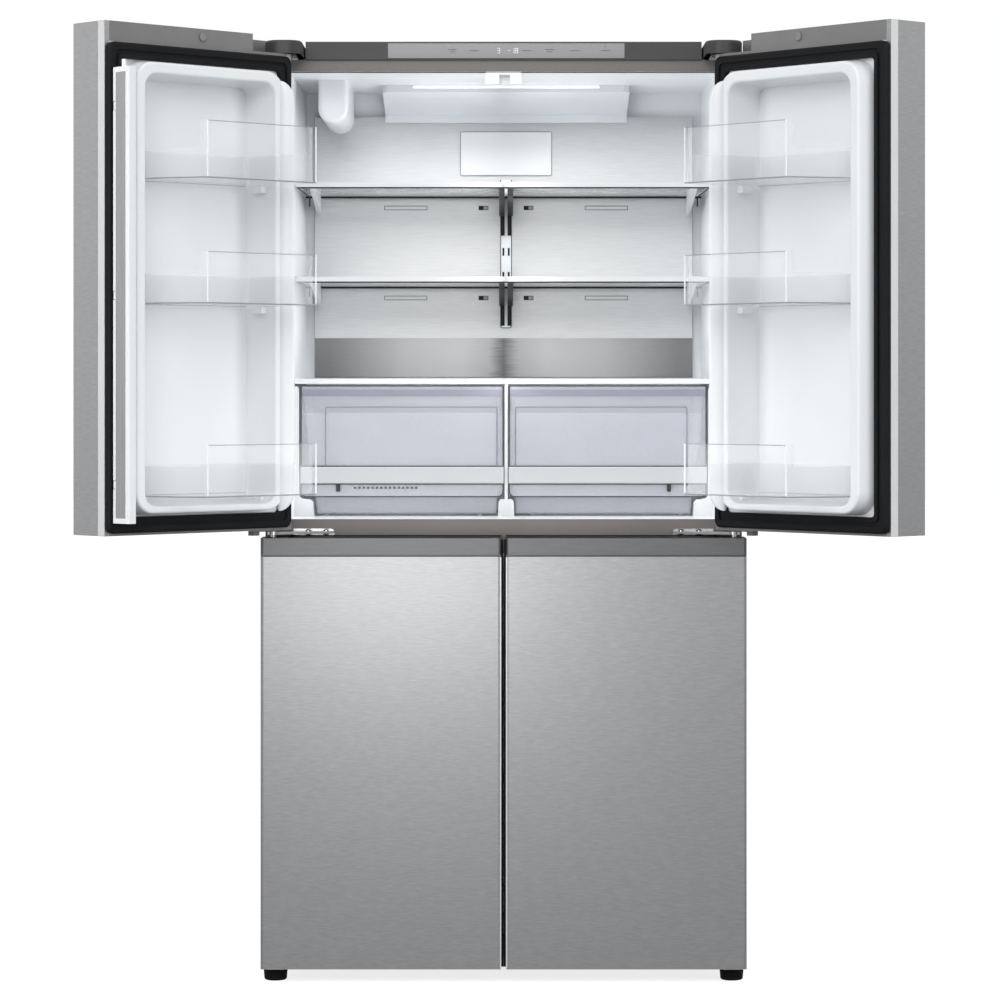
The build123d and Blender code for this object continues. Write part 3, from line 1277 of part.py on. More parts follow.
def freezer_drawer(side, floor):
    """One freezer drawer with a lip to pull on."""
    inner = DIVIDER_WALL / 2 + DRAWER_SIDE_GAP
    outer = FREEZER_HALF - DRAWER_SIDE_GAP
    low_x, high_x = sorted((side * inner, side * outer))
    front = DRAWER_FRONT_Y
    back = DRAWER_BACK_Y
    top = floor + DRAWER_HEIGHT
    tub = block(low_x, high_x, front, back, floor, top)
    tub = fillet(tub.edges().filter_by(Axis.Z), DRAWER_CORNER_R)
    wall = DRAWER_WALL
    hollow = block(low_x + wall, high_x - wall, front + wall, back - wall, floor + wall, top)
    hollow = fillet(hollow.edges().filter_by(Axis.Z), DRAWER_CORNER_R - wall)
    grip = block(
        low_x + DRAWER_GRIP_MARGIN,
        high_x - DRAWER_GRIP_MARGIN,
        front - DRAWER_GRIP_DEPTH,
        front,
        top - DRAWER_GRIP_HEIGHT,
        top,
    )
    grip -= block(
        low_x, high_x, front - DRAWER_GRIP_DEPTH + wall, front, top - DRAWER_GRIP_HEIGHT, top - wall
    )
    return tub - hollow + grip


def build_freezer():
    """Divider, drawers, back panel and evaporator."""
    panel_front = FREEZER_LOW_BACK_Y - FREEZER_PANEL_WALL
    divider = block(
        -DIVIDER_WALL / 2, DIVIDER_WALL / 2, FRONT, panel_front, FREEZER_FLOOR_Z, FREEZER_CEILING_Z
    )
    divider += block(
        -POST_WIDTH / 2, POST_WIDTH / 2, FRONT, FRONT + POST_DEPTH, FREEZER_FLOOR_Z, FREEZER_CEILING_Z
    )
    for ledge in both_sides(drawer_ledges(DIVIDER_WALL / 2, DIVIDER_WALL / 2 + LEDGE_DEPTH)):
        divider += ledge
    nodes["freezer_divider"] = divider
    drawers = []
    for floor in DRAWER_FLOORS_Z:
        for side in (-1, 1):
            drawers.append(freezer_drawer(side, floor))
    nodes["freezer_drawers"] = Compound(drawers)

    nodes["freezer_back_panel"] = block(
        -FREEZER_HALF,
        FREEZER_HALF,
        panel_front,
        panel_front + FREEZER_PANEL_WALL,
        FREEZER_STEP_Z,
        FREEZER_CEILING_Z,
    )
    nodes["evaporator"] = evaporator()


def evaporator():
    """A finned coil against the back of the freezer."""
    half = FREEZER_HALF - EVAPORATOR_SIDE_GAP
    front = FREEZER_BACK_Y - EVAPORATOR_DEPTH
    coil = block(-half, half, front, FREEZER_BACK_Y, EVAPORATOR_BOTTOM_Z, EVAPORATOR_TOP_Z)
    pitch = 2 * half / EVAPORATOR_FINS
    for index in range(EVAPORATOR_FINS):
        x = index * pitch + EVAPORATOR_FIN_WALL - half
        coil -= block(
            x,
            x + pitch - EVAPORATOR_FIN_WALL,
            front,
            FREEZER_BACK_Y - EVAPORATOR_FIN_WALL,
            EVAPORATOR_BOTTOM_Z,
            EVAPORATOR_TOP_Z,
        )
    return coil


def machine_base(top, back):
    """The base plate with the ears that hold the roller axles."""
    base = block(-MACHINE_HALF, MACHINE_HALF, MACHINE_FRONT_Y, back, CABINET_BOTTOM_Z, top)
    axle_y = BACK - ROLLER_INSET
    for side in (-1, 1):
        for edge in (-1, 1):
            x = side * ROLLER_X + edge * (ROLLER_WIDTH / 2 + RUN_GAP + ROLLER_EAR_WALL / 2)
            x0 = x - ROLLER_EAR_WALL / 2
            x1 = x + ROLLER_EAR_WALL / 2
            half = ROLLER_R / 2
            ear = block(x0, x1, axle_y - half, axle_y + half, half, CABINET_BOTTOM_Z)
            base += ear - rod_x(x0, x1, axle_y, ROLLER_R, ROLLER_AXLE_R + SEAT_GAP)
        room = ROLLER_WIDTH / 2 + RUN_GAP
        reach = ROLLER_R + RUN_GAP
        base -= block(
            side * ROLLER_X - room,
            side * ROLLER_X + room,
            axle_y - reach,
            axle_y + reach,
            CABINET_BOTTOM_Z,
            top,
        )
    return base


def roller(side):
    """One rear roller with its axle."""
    x = side * ROLLER_X
    axle_y = BACK - ROLLER_INSET
    axle_half = ROLLER_WIDTH / 2 + RUN_GAP + ROLLER_EAR_WALL
    wheel = rod_x(x - ROLLER_WIDTH / 2, x + ROLLER_WIDTH / 2, axle_y, ROLLER_R, ROLLER_R)
    return wheel + rod_x(x - axle_half, x + axle_half, axle_y, ROLLER_R, ROLLER_AXLE_R)


def compressor(y, base_top):
    """A domed shell on four rubber feet."""
    low = base_top + COMPRESSOR_FOOT_HEIGHT
    dome = post(COMPRESSOR_X, y, low, low + COMPRESSOR_HEIGHT, COMPRESSOR_R)
    dome = fillet(dome.edges().filter_by(GeomType.CIRCLE).sort_by(Axis.Z)[-1], COMPRESSOR_DOME_R)
    dome = fillet(dome.edges().filter_by(GeomType.CIRCLE).sort_by(Axis.Z)[0], COMPRESSOR_FOOT_HEIGHT)
    seat = COMPRESSOR_R - COMPRESSOR_FOOT_HEIGHT
    dome += block(
        COMPRESSOR_X - COMPRESSOR_R,
        COMPRESSOR_X + COMPRESSOR_R,
        y - seat,
        y + seat,
        low - BASE_WALL,
        low + BASE_WALL,
    )
    foot_y = seat - 2 * COMPRESSOR_FOOT_R
    for dx in (-seat, seat):
        for dy in (-foot_y, foot_y):
            dome += post(COMPRESSOR_X + dx, y + dy, base_top, low, COMPRESSOR_FOOT_R)
    return dome


def condenser_and_fan(y, base_top):
    """A finned condenser with the fan motor beside it, and the fan on its shaft."""
    coil_low = CONDENSER_X - CONDENSER_WIDTH / 2
    coil_high = CONDENSER_X + CONDENSER_WIDTH / 2
    y0 = y - CONDENSER_DEPTH / 2
    y1 = y + CONDENSER_DEPTH / 2
    top = base_top + CONDENSER_HEIGHT
    tray_top = base_top + CONDENSER_TRAY_HEIGHT
    coil = block(coil_low, coil_high, y0, y1, base_top, top)
    pitch = CONDENSER_WIDTH / CONDENSER_FINS
    for index in range(CONDENSER_FINS):
        x = coil_low + index * pitch + CONDENSER_FIN_WALL
        coil -= block(x, x + pitch - CONDENSER_FIN_WALL, y0, y1, tray_top, top)
    axis_z = base_top + CONDENSER_HEIGHT / 2
    motor_high = coil_low - FAN_GAP
    motor_low = motor_high - FAN_MOTOR_LENGTH
    half = FAN_HUB_R / 2
    coil += block(motor_low, coil_low + CONDENSER_FIN_WALL, y0, y1, base_top, tray_top)
    coil += block(motor_low, motor_high, y - half, y + half, base_top, axis_z)
    coil += rod_x(motor_low, motor_high, y, axis_z, FAN_HUB_R)
    coil -= rod_x(motor_low, motor_high - FAN_GAP, y, axis_z, FAN_SHAFT_R + SEAT_GAP)

    fan_high = motor_low - RUN_GAP
    fan_low = fan_high - FAN_WIDTH
    fan = rod_x(fan_low, fan_high, y, axis_z, FAN_HUB_R)
    fan += rod_x(fan_low, motor_low + FAN_GAP, y, axis_z, FAN_SHAFT_R)
    blade_length = FAN_R - half
    blade = Rot(0, 0, FAN_BLADE_ANGLE) * Box(FAN_BLADE_WALL, FAN_BLADE_WIDTH, blade_length)
    blade = Pos(0, 0, half + blade_length / 2) * blade
    for index in range(FAN_BLADES):
        turn = Rot(index * 360 / FAN_BLADES, 0, 0)
        fan += Pos((fan_low + fan_high) / 2, y, axis_z) * turn * blade
    return coil, fan


def machine_cover():
    """The sheet over the machine compartment with rows of air slots."""
    front = BACK - MACHINE_COVER_WALL
    cover = block(-MACHINE_HALF, MACHINE_HALF, front, BACK, CABINET_BOTTOM_Z, MACHINE_TOP_Z)
    pitch = (2 * MACHINE_HALF - COVER_SLOT_GAP) / COVER_SLOT_COLUMNS
    slot = Plane.XZ * SlotOverall(pitch - COVER_SLOT_GAP, COVER_SLOT_HEIGHT)
    middle_z = (CABINET_BOTTOM_Z + MACHINE_TOP_Z) / 2
    slots = []
    for column in range(COVER_SLOT_COLUMNS):
        for row in range(COVER_SLOT_ROWS):
            x = (column - (COVER_SLOT_COLUMNS - 1) / 2) * pitch
            z = middle_z + (row - (COVER_SLOT_ROWS - 1) / 2) * COVER_SLOT_PITCH_Z
            slots.append(extrude(Pos(x, front, z) * slot, MACHINE_COVER_WALL, dir=(0, 1, 0)))
    return cover - slots


def build_machine():
    """Base, rollers, compressor, condenser with its fan, and the slotted cover."""
    base_top = CABINET_BOTTOM_Z + BASE_WALL
    cover_front = BACK - MACHINE_COVER_WALL
    middle_y = (MACHINE_FRONT_Y + cover_front) / 2
    nodes["machine_base"] = machine_base(base_top, cover_front)
    nodes["rear_rollers"] = Compound([roller(-1), roller(1)])
    nodes["compressor"] = compressor(middle_y, base_top)
    nodes["condenser"], nodes["condenser_fan"] = condenser_and_fan(middle_y, base_top)
    nodes["machine_cover"] = machine_cover()


def build_feet():
    """Two levelling feet, screwed into the bottom hinge brackets."""
    pad = Pos(-FOOT_X, FOOT_Y, FOOT_PAD_HEIGHT / 2) * Cone(FOOT_R, FOOT_TOP_R, FOOT_PAD_HEIGHT)
    pad = chamfer(pad.edges().group_by(Axis.Z)[0], FOOT_BEVEL)
    stem = post(-FOOT_X, FOOT_Y, FOOT_PAD_HEIGHT, LOWER_DOOR_BOTTOM_Z - RUN_GAP, FOOT_STEM_R)
    nodes["levelling_feet"] = Compound(both_sides(pad + stem))


def main():
    """Build every piece and write one file for each."""
    build_cabinet()
    build_fridge_back()
    build_shelves()
    build_ceiling()
    build_crisper(-1, "left")
    build_crisper(1, "right")
    build_doors()
    build_hinges()
    build_top()
    build_freezer()
    build_machine()
    build_feet()
    os.makedirs("parts", exist_ok=True)
    for name, shape in nodes.items():
        export_step(shape, f"parts/{name}.step")
    print(len(nodes), "nodes")


main()
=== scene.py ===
import json
import math

import bmesh
import bpy
from mathutils import Matrix, Vector


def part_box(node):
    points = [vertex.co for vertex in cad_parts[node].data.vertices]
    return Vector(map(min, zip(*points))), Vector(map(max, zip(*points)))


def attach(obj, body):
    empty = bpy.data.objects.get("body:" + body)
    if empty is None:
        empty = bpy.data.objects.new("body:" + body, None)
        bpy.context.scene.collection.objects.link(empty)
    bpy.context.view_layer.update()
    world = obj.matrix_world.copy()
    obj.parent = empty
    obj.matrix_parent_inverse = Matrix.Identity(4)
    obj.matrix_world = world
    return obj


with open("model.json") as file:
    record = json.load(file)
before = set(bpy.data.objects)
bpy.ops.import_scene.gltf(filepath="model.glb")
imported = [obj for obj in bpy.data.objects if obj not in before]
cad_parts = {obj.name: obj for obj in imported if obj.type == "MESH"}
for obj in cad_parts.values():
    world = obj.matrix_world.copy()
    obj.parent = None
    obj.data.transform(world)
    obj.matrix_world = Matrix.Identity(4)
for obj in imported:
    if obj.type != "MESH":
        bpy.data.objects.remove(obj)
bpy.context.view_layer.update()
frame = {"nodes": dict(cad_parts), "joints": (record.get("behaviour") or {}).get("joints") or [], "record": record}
nodes = frame["nodes"]
finish = {}


# Materials

FINE_DETAIL = 2.0
SOFT_DETAIL = 3.0
SLOW_DETAIL = 1.0
NOISE_RANGE = (0.3, 0.7)
GRAIN_GLOSS = 0.012
MOULD_CLOUD = (14.0, 14.0, 14.0)
MOULD_GLOSS = 0.04
RELIEF_DEPTH = 0.0003
WHITE_CLOUD = (5.0, 5.0, 3.0)
WHITE_GLOSS = 0.02
FLOW_MARKS = (9.0, 9.0, 22.0)
FLOW_SHADE = 0.95
FLOW_GLOSS = 0.03
CLEAR_BLEND = 0.35
BORDER_SOFTNESS = 0.01
BRACKET_SPECULAR = 0.25


def material(name, rough, metallic=0.0, **sockets):
    """A Principled material with its constant sockets set, kept in finish under its name."""
    made = bpy.data.materials.new(name)
    made.use_nodes = True
    finish[name] = made
    bsdf = made.node_tree.nodes["Principled BSDF"]
    bsdf.inputs["Roughness"].default_value = rough
    bsdf.inputs["Metallic"].default_value = metallic
    for socket, value in sockets.items():
        bsdf.inputs[socket.replace("_", " ")].default_value = value
    return made.node_tree, bsdf


def noise(tree, scale, detail=SOFT_DETAIL):
    """Noise over the object's own coordinates, stretched by a scale per axis."""
    coord = tree.nodes.new("ShaderNodeTexCoord")
    mapping = tree.nodes.new("ShaderNodeMapping")
    mapping.inputs["Scale"].default_value = scale
    texture = tree.nodes.new("ShaderNodeTexNoise")
    texture.inputs["Scale"].default_value = 1.0
    texture.inputs["Detail"].default_value = detail
    tree.links.new(coord.outputs["Object"], mapping.inputs["Vector"])
    tree.links.new(mapping.outputs["Vector"], texture.inputs["Vector"])
    return texture.outputs["Fac"]


def coordinate(tree, kind, axis):
    """One axis of a set of texture coordinates."""
    coord = tree.nodes.new("ShaderNodeTexCoord")
    split = tree.nodes.new("ShaderNodeSeparateXYZ")
    tree.links.new(coord.outputs[kind], split.inputs["Vector"])
    return split.outputs[axis]


def ramp(tree, factor, stops):
    """Colour that follows stops of a factor."""
    made = tree.nodes.new("ShaderNodeValToRGB")
    for _ in stops[2:]:
        made.color_ramp.elements.new(1.0)
    for element, (position, colour) in zip(made.color_ramp.elements, stops):
        element.position = position
        element.color = (*colour, 1.0)
    tree.links.new(factor, made.inputs["Fac"])
    return made.outputs["Color"]


def carry(tree, factor, source, target):
    """A factor carried over from one range to another."""
    made = tree.nodes.new("ShaderNodeMapRange")
    made.inputs["From Min"].default_value, made.inputs["From Max"].default_value = source
    made.inputs["To Min"].default_value, made.inputs["To Max"].default_value = target
    tree.links.new(factor, made.inputs["Value"])
    return made.outputs["Result"]


def tint(tree, bsdf, factor, low, high, limits=NOISE_RANGE):
    """Base colour between two colours along a factor."""
    colour = ramp(tree, factor, list(zip(limits, (low, high))))
    tree.links.new(colour, bsdf.inputs["Base Color"])


def roughen(tree, bsdf, factor, low, high):
    """Roughness between two values along a factor."""
    tree.links.new(carry(tree, factor, NOISE_RANGE, (low, high)), bsdf.inputs["Roughness"])


def emboss(tree, bsdf, factor, strength):
    """Fine relief from a factor."""
    bump = tree.nodes.new("ShaderNodeBump")
    bump.inputs["Strength"].default_value = strength
    bump.inputs["Distance"].default_value = RELIEF_DEPTH
    tree.links.new(factor, bump.inputs["Height"])
    tree.links.new(bump.outputs["Normal"], bsdf.inputs["Normal"])


def glow(bsdf, strength):
    """White light of its own."""
    bsdf.inputs["Emission Color"].default_value = (1.0, 1.0, 1.0, 1.0)
    bsdf.inputs["Emission Strength"].default_value = strength


def shade(colour, share):
    """The colour made lighter or darker by a share."""
    return tuple(min(1.0, c * share) for c in colour)


def brushed(name, colour, rough, grain, contrast, metallic=1.0):
    """Brushed metal with a level grain in its colour and its gloss."""
    tree, bsdf = material(name, rough, metallic)
    fine = noise(tree, grain, FINE_DETAIL)
    tint(tree, bsdf, fine, shade(colour, 1 - contrast), shade(colour, 1 + contrast))
    roughen(tree, bsdf, fine, rough - GRAIN_GLOSS, rough + GRAIN_GLOSS)


def moulded(name, colour, rough, contrast, grain, relief, **sockets):
    """Moulded plastic or satin paint with a faint skin and uneven gloss."""
    tree, bsdf = material(name, rough, **sockets)
    cloud = noise(tree, MOULD_CLOUD)
    tint(tree, bsdf, cloud, shade(colour, 1 - contrast), shade(colour, 1 + contrast))
    roughen(tree, bsdf, cloud, rough - MOULD_GLOSS, rough + MOULD_GLOSS)
    emboss(tree, bsdf, noise(tree, (grain, grain, grain), FINE_DETAIL), relief)


def glossy_white(name, colour, rough, contrast=0.010):
    """Smooth white plastic with slow, faint changes of tone and gloss."""
    tree, bsdf = material(name, rough)
    cloud = noise(tree, WHITE_CLOUD, SLOW_DETAIL)
    tint(tree, bsdf, cloud, shade(colour, 1 - contrast), shade(colour, 1 + contrast))
    roughen(tree, bsdf, cloud, rough - WHITE_GLOSS, rough + WHITE_GLOSS)
    return bsdf


def from_middle(tree):
    """Distance from the middle of the object, to either side."""
    made = tree.nodes.new("ShaderNodeMath")
    made.operation = "ABSOLUTE"
    tree.links.new(coordinate(tree, "Object", "X"), made.inputs[0])
    return made.outputs["Value"]


def two_tone(name, middle, sides, border, rough):
    """Moulded plastic that is one colour near the middle of the object and another towards its sides."""
    tree, bsdf = material(name, rough, Specular_IOR_Level=BRACKET_SPECULAR)
    limits = (border - BORDER_SOFTNESS, border + BORDER_SOFTNESS)
    tint(tree, bsdf, from_middle(tree), middle, sides, limits)
    roughen(tree, bsdf, noise(tree, MOULD_CLOUD), rough - MOULD_GLOSS, rough + MOULD_GLOSS)


def graded(name, tones, rough, grain, scatter, metallic):
    """Brushed metal whose tone follows the distance from the middle as painted shade, the grain breaking the
    change.
    """
    tree, bsdf = material(name, rough, metallic)
    fine = noise(tree, grain, FINE_DETAIL)
    blend = tree.nodes.new("ShaderNodeMath")
    blend.operation = "MULTIPLY_ADD"
    blend.inputs[1].default_value = scatter
    tree.links.new(fine, blend.inputs[0])
    tree.links.new(from_middle(tree), blend.inputs[2])
    colour = ramp(tree, blend.outputs["Value"], [(distance, (tone, tone, tone)) for distance, tone in tones])
    tree.links.new(colour, bsdf.inputs["Base Color"])
    roughen(tree, bsdf, fine, rough - GRAIN_GLOSS, rough + GRAIN_GLOSS)


def clear(name, colour, rough, through, edge):
    """Clear moulded plastic or glass: cover in the middle and at the edge, with faint flow marks."""
    tree, bsdf = material(name, rough, Alpha=through)
    flow = noise(tree, FLOW_MARKS, FINE_DETAIL)
    tint(tree, bsdf, flow, shade(colour, FLOW_SHADE), colour)
    roughen(tree, bsdf, flow, rough, rough + FLOW_GLOSS)
    weight = tree.nodes.new("ShaderNodeLayerWeight")
    weight.inputs["Blend"].default_value = CLEAR_BLEND
    cover = carry(tree, weight.outputs["Facing"], (0.0, 1.0), (through, edge))
    tree.links.new(cover, bsdf.inputs["Alpha"])


# Brushed metals: name, colour, roughness, grain along x, y and z, contrast, metallic share
brushed("door_steel", (0.585, 0.592, 0.60), 0.34, (55.0, 55.0, 560.0), 0.075)
brushed("duct_metal", (0.64, 0.645, 0.65), 0.42, (24.0, 24.0, 420.0), 0.045, 0.85)
brushed("hinge_metal", (0.80, 0.80, 0.81), 0.20, (60.0, 60.0, 60.0), 0.06)
brushed("fin_metal", (0.62, 0.63, 0.64), 0.42, (40.0, 40.0, 300.0), 0.10)
brushed("rear_sheet", (0.46, 0.465, 0.47), 0.48, (90.0, 90.0, 110.0), 0.10)
brushed("mullion_grey", (0.64, 0.645, 0.66), 0.42, (200.0, 200.0, 8.0), 0.05)
brushed("grip_cap", (0.235, 0.238, 0.242), 0.40, (30.0, 30.0, 300.0), 0.04)
# Light steel for the painted highlight along the lower doors' free edges
brushed("edge_highlight_steel", (0.86, 0.865, 0.87), 0.30, (90.0, 90.0, 260.0), 0.05, 0.4)

# The duct's foot in painted shade, darkest in the middle under the rail and towards both ends: distance from the
# middle in metres, and brightness there
DUCT_FOOT_PAINTED_SHADE = [(0.012, 0.16), (0.045, 0.46), (0.10, 0.55), (0.22, 0.50), (0.37, 0.26)]
graded("duct_foot_painted_shade", DUCT_FOOT_PAINTED_SHADE, 0.42, (24.0, 24.0, 420.0), 0.03, 0.85)

# Moulded plastics, rubber and paint: name, colour, roughness, contrast, fineness of the skin, relief
moulded("cabinet_paint", (0.162, 0.146, 0.136), 0.42, 0.05, 1100.0, 0.08)
moulded("cap_grey", (0.205, 0.205, 0.207), 0.46, 0.06, 1300.0, 0.08)
moulded("cover_dark", (0.041, 0.041, 0.041), 0.45, 0.06, 1300.0, 0.08)
moulded("gasket_black", (0.010, 0.0105, 0.012), 0.60, 0.15, 420.0, 0.06, Specular_IOR_Level=0.16)
moulded("bracket_dark", (0.006, 0.006, 0.007), 0.34, 0.10, 900.0, 0.04, Specular_IOR_Level=0.30)
moulded("display_grey", (0.225, 0.225, 0.232), 0.24, 0.03, 700.0, 0.01, Coat_Weight=0.2)
moulded("foam", (0.78, 0.68, 0.42), 0.80, 0.10, 260.0, 0.5)
moulded("foot_black", (0.005, 0.005, 0.0055), 0.55, 0.15, 500.0, 0.10, Specular_IOR_Level=0.20)
moulded("roller_plastic", (0.03, 0.03, 0.03), 0.5, 0.12, 500.0, 0.15)
moulded("compressor_black", (0.02, 0.02, 0.021), 0.35, 0.12, 700.0, 0.10)
moulded("knob_dark", (0.02, 0.021, 0.024), 0.45, 0.10, 900.0, 0.10)
moulded("edge_trim", (0.62, 0.63, 0.64), 0.34, 0.02, 700.0, 0.03)
moulded("mark_dark", (0.10, 0.105, 0.12), 0.50, 0.10, 900.0, 0.04)
moulded("mark_light", (0.86, 0.88, 0.92), 0.40, 0.04, 900.0, 0.02)
moulded("bead_grey", (0.30, 0.31, 0.32), 0.40, 0.05, 900.0, 0.03)
# Dark violet for the painted shade along the crispers' clear edges
moulded("edge_shade_violet", (0.035, 0.037, 0.050), 0.40, 0.05, 900.0, 0.03)
moulded("frame_violet", (0.23, 0.24, 0.285), 0.40, 0.04, 900.0, 0.03)
moulded("plug_grey", (0.24, 0.24, 0.245), 0.42, 0.05, 900.0, 0.05)

# The shelf brackets: dark at the middle rail, white at the walls, parted 0.2 m from the middle
two_tone("bracket_mixed", (0.006, 0.006, 0.007), (0.62, 0.635, 0.65), 0.2, 0.38)

# White plastics: name, colour, roughness, contrast
glossy_white("liner_white", (0.83, 0.855, 0.875), 0.34)
glossy_white("trim_white", (0.66, 0.67, 0.68), 0.34)
glossy_white("handle_white", (0.49, 0.50, 0.51), 0.36)
glossy_white("plate_white", (0.74, 0.745, 0.75), 0.30)
glossy_white("lens_white", (0.70, 0.725, 0.765), 0.30, 0.02)
# White for the painted highlights on the bins' corners
glossy_white("highlight_white", (0.90, 0.91, 0.92), 0.30)
LAMP_GLOW = 0.6
glow(glossy_white("lamp_lit", (0.90, 0.92, 0.95), 0.30), LAMP_GLOW)

# Clear plastics and glass: name, colour, roughness, cover in the middle and at the edge
clear("bin_clear", (0.95, 0.97, 0.975), 0.10, 0.05, 0.42)
clear("crisper_clear", (0.87, 0.885, 0.955), 0.10, 0.24, 0.70)
clear("shelf_pane", (0.90, 0.925, 0.925), 0.10, 0.10, 0.86)

own_finish = {
    "lower_left_door_end_caps": "grip_cap",
    "lower_right_door_end_caps": "grip_cap",
    "left_crisper": "crisper_clear",
    "right_crisper": "crisper_clear",
    "left_crisper_handle": "handle_white",
    "right_crisper_handle": "handle_white",
    "vent_plate": "plate_white",
    "shelf_brackets": "bracket_mixed",
}
for row in frame["record"]["subparts"]:
    chosen = own_finish.get(row["node"], row["material_slot"])
    mesh = nodes[row["node"]].data
    mesh.materials.clear()
    mesh.materials.append(finish[chosen])


# Extra pieces

ROOM = Matrix.Identity(4)
SIDES = (-1, 1)
UPPER_DOORS = ("left_door", "right_door")
ALONG_X = (1, 0, 0)
ALONG_Y = (0, 1, 0)
ALONG_Z = (0, 0, 1)
forward = Vector((0, -1, 0))
backward = Vector((0, 1, 0))
upward = Vector((0, 0, 1))
TURNED_STEPS = 28
CORNER_STEPS = 5
BEAD_SIDES = 8


def piece(name, build, body, look, slot, *details):
    """A mesh piece made by a function that fills a bmesh, riding on a body."""
    work = bmesh.new()
    build(work, *details)
    bmesh.ops.recalc_face_normals(work, faces=work.faces)
    mesh = bpy.data.meshes.new(name)
    work.to_mesh(mesh)
    work.free()
    made = bpy.data.objects.new(name, mesh)
    bpy.context.scene.collection.objects.link(made)
    mesh.materials.append(finish[look])
    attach(made, body)


def circle(k, steps):
    """Cosine and sine of one step round a circle."""
    angle = 2 * math.pi * k / steps
    return math.cos(angle), math.sin(angle)


def lathe(work, place, profile):
    """A turned form: (radius, height) points about the local Z of a placing matrix."""
    rings = []
    for radius, height in profile:
        if radius == 0:
            rings.append([work.verts.new(place @ Vector((0, 0, height)))])
            continue
        ring = []
        for k in range(TURNED_STEPS):
            c, s = circle(k, TURNED_STEPS)
            ring.append(work.verts.new(place @ Vector((radius * c, radius * s, height))))
        rings.append(ring)
    for low, high in zip(rings, rings[1:]):
        for k in range(TURNED_STEPS):
            n = (k + 1) % TURNED_STEPS
            corners = [low[k % len(low)], low[n % len(low)], high[n % len(high)], high[k % len(high)]]
            unique = list(dict.fromkeys(corners))
            if len(unique) > 2:
                work.faces.new(unique)


def slab(work, xs, ys, zs, bevel, place=ROOM):
    """A block between pairs of coordinates, with bevelled edges."""
    middle = Vector([(low + high) / 2 for low, high in (xs, ys, zs)])
    size = Matrix.Diagonal([high - low for low, high in (xs, ys, zs)] + [1.0])
    made = bmesh.ops.create_cube(work, size=1.0, matrix=place @ Matrix.Translation(middle) @ size)
    edges = list({e for v in made["verts"] for e in v.link_edges})
    bmesh.ops.bevel(work, geom=edges, offset=bevel, segments=2, profile=0.6, affect="EDGES")


def spread(middle, size):
    """A pair of coordinates about a middle."""
    return middle - size / 2, middle + size / 2


def tube(work, rings, closed=False):
    """Faces round a row of rings, which is either a loop or capped at both ends."""
    pairs = list(zip(rings, rings[1:]))
    if closed:
        pairs.append((rings[-1], rings[0]))
    else:
        work.faces.new(rings[0])
        work.faces.new(rings[-1])
    walls = []
    for low, high in pairs:
        for k in range(len(low)):
            n = (k + 1) % len(low)
            walls.append(work.faces.new((low[k], low[n], high[n], high[k])))
    return walls


def prism(work, outline, front, back, bevel):
    """A level bar with a bevelled edge at the front: its (x, z) outline runs from front to back."""
    first, last = ([work.verts.new((x, y, z)) for x, z in outline] for y in (front, back))
    tube(work, [first, last])
    rim = [work.edges.get((first[k - 1], first[k])) for k in range(len(first))]
    bmesh.ops.bevel(work, geom=rim, offset=bevel, segments=3, profile=0.5, affect="EDGES")


def facing(direction, at):
    """A matrix whose Z looks along a direction, set at a point."""
    return Matrix.Translation(Vector(at)) @ Vector(direction).to_track_quat("Z", "Y").to_matrix().to_4x4()


def rounded(corners, radius, closed=False):
    """A path through corners, each corner but the ends rounded off."""
    path = []
    count = len(corners)
    for index, corner in enumerate(corners):
        if not closed and index in (0, count - 1):
            path.append(corner)
            continue
        start = corner + radius * (corners[index - 1] - corner).normalized()
        stop = corner + radius * (corners[(index + 1) % count] - corner).normalized()
        for k in range(CORNER_STEPS + 1):
            t = k / CORNER_STEPS
            path.append((1 - t) ** 2 * start + 2 * t * (1 - t) * corner + t ** 2 * stop)
    return path


def bead(work, path, radius, normal, closed=False):
    """A round bead along a path that lies square to a normal."""
    normal = Vector(normal).normalized()
    last = len(path) - 1
    rings = []
    for index, point in enumerate(path):
        before = path[index - 1] if closed or index > 0 else point
        after = path[(index + 1) % len(path)] if closed or index < last else point
        across = (after - before).normalized().cross(normal)
        ring = []
        for k in range(BEAD_SIDES):
            c, s = circle(k, BEAD_SIDES)
            ring.append(work.verts.new(point + radius * (c * across + s * normal)))
        rings.append(ring)
    tube(work, rings, closed)


# Washer-faced screw head with a raised rim round its drive: share of the radius, and height
SCREW_PROFILE = (
    (1.0, 0.0), (1.0, 0.0008), (0.93, 0.0014), (0.70, 0.0016), (0.66, 0.0030), (0.55, 0.0036),
    (0.30, 0.0037), (0.27, 0.0022), (0, 0.0020),
)


def screw_heads(work, places, radius, height=1.0):
    """Screw heads at places with a direction each, their height scaled by a share."""
    flat = Matrix.Diagonal((1.0, 1.0, height, 1.0))
    for at, direction in places:
        lathe(work, facing(direction, at) @ flat, [(share * radius, z) for share, z in SCREW_PROFILE])


# Places that the extra pieces share, taken from the frame
joints = {joint["name"]: joint for joint in frame["joints"]}
cabinet_low, cabinet_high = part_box("outer_cabinet")
lower_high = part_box("lower_left_door_skin")[1]
swing = joints["left_door_swing"]
hinge_x = -swing["pos_m"][0]
hinge_y = swing["pos_m"][1]
free_u = lower_high.x + hinge_x
back_v = lower_high.y - hinge_y
upper_low, upper_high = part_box("left_door_skin")


def door_place(door):
    """From an upper door's own axes to the room: x runs to the free end, y inward, z up."""
    joint = joints[f"{door}_swing"]
    side = -joint["axis"][2]
    opened = math.radians(-joint["range_deg"][0])
    at = Matrix.Translation((joint["pos_m"][0], joint["pos_m"][1], 0))
    return at @ Matrix.Rotation(-side * opened, 4, "Z") @ Matrix.Diagonal((side, 1, 1, 1))


# Light edge strip along the free end of each upper door
TRIM_DEPTH = 0.019
TRIM_PROUD = 0.0006


def edge_trim(work, door):
    slab(
        work, (free_u - TRIM_PROUD, free_u + TRIM_PROUD), (back_v - TRIM_DEPTH, back_v - TRIM_PROUD),
        (upper_low.z + TRIM_PROUD, upper_high.z - TRIM_PROUD), TRIM_PROUD / 3, door_place(door),
    )


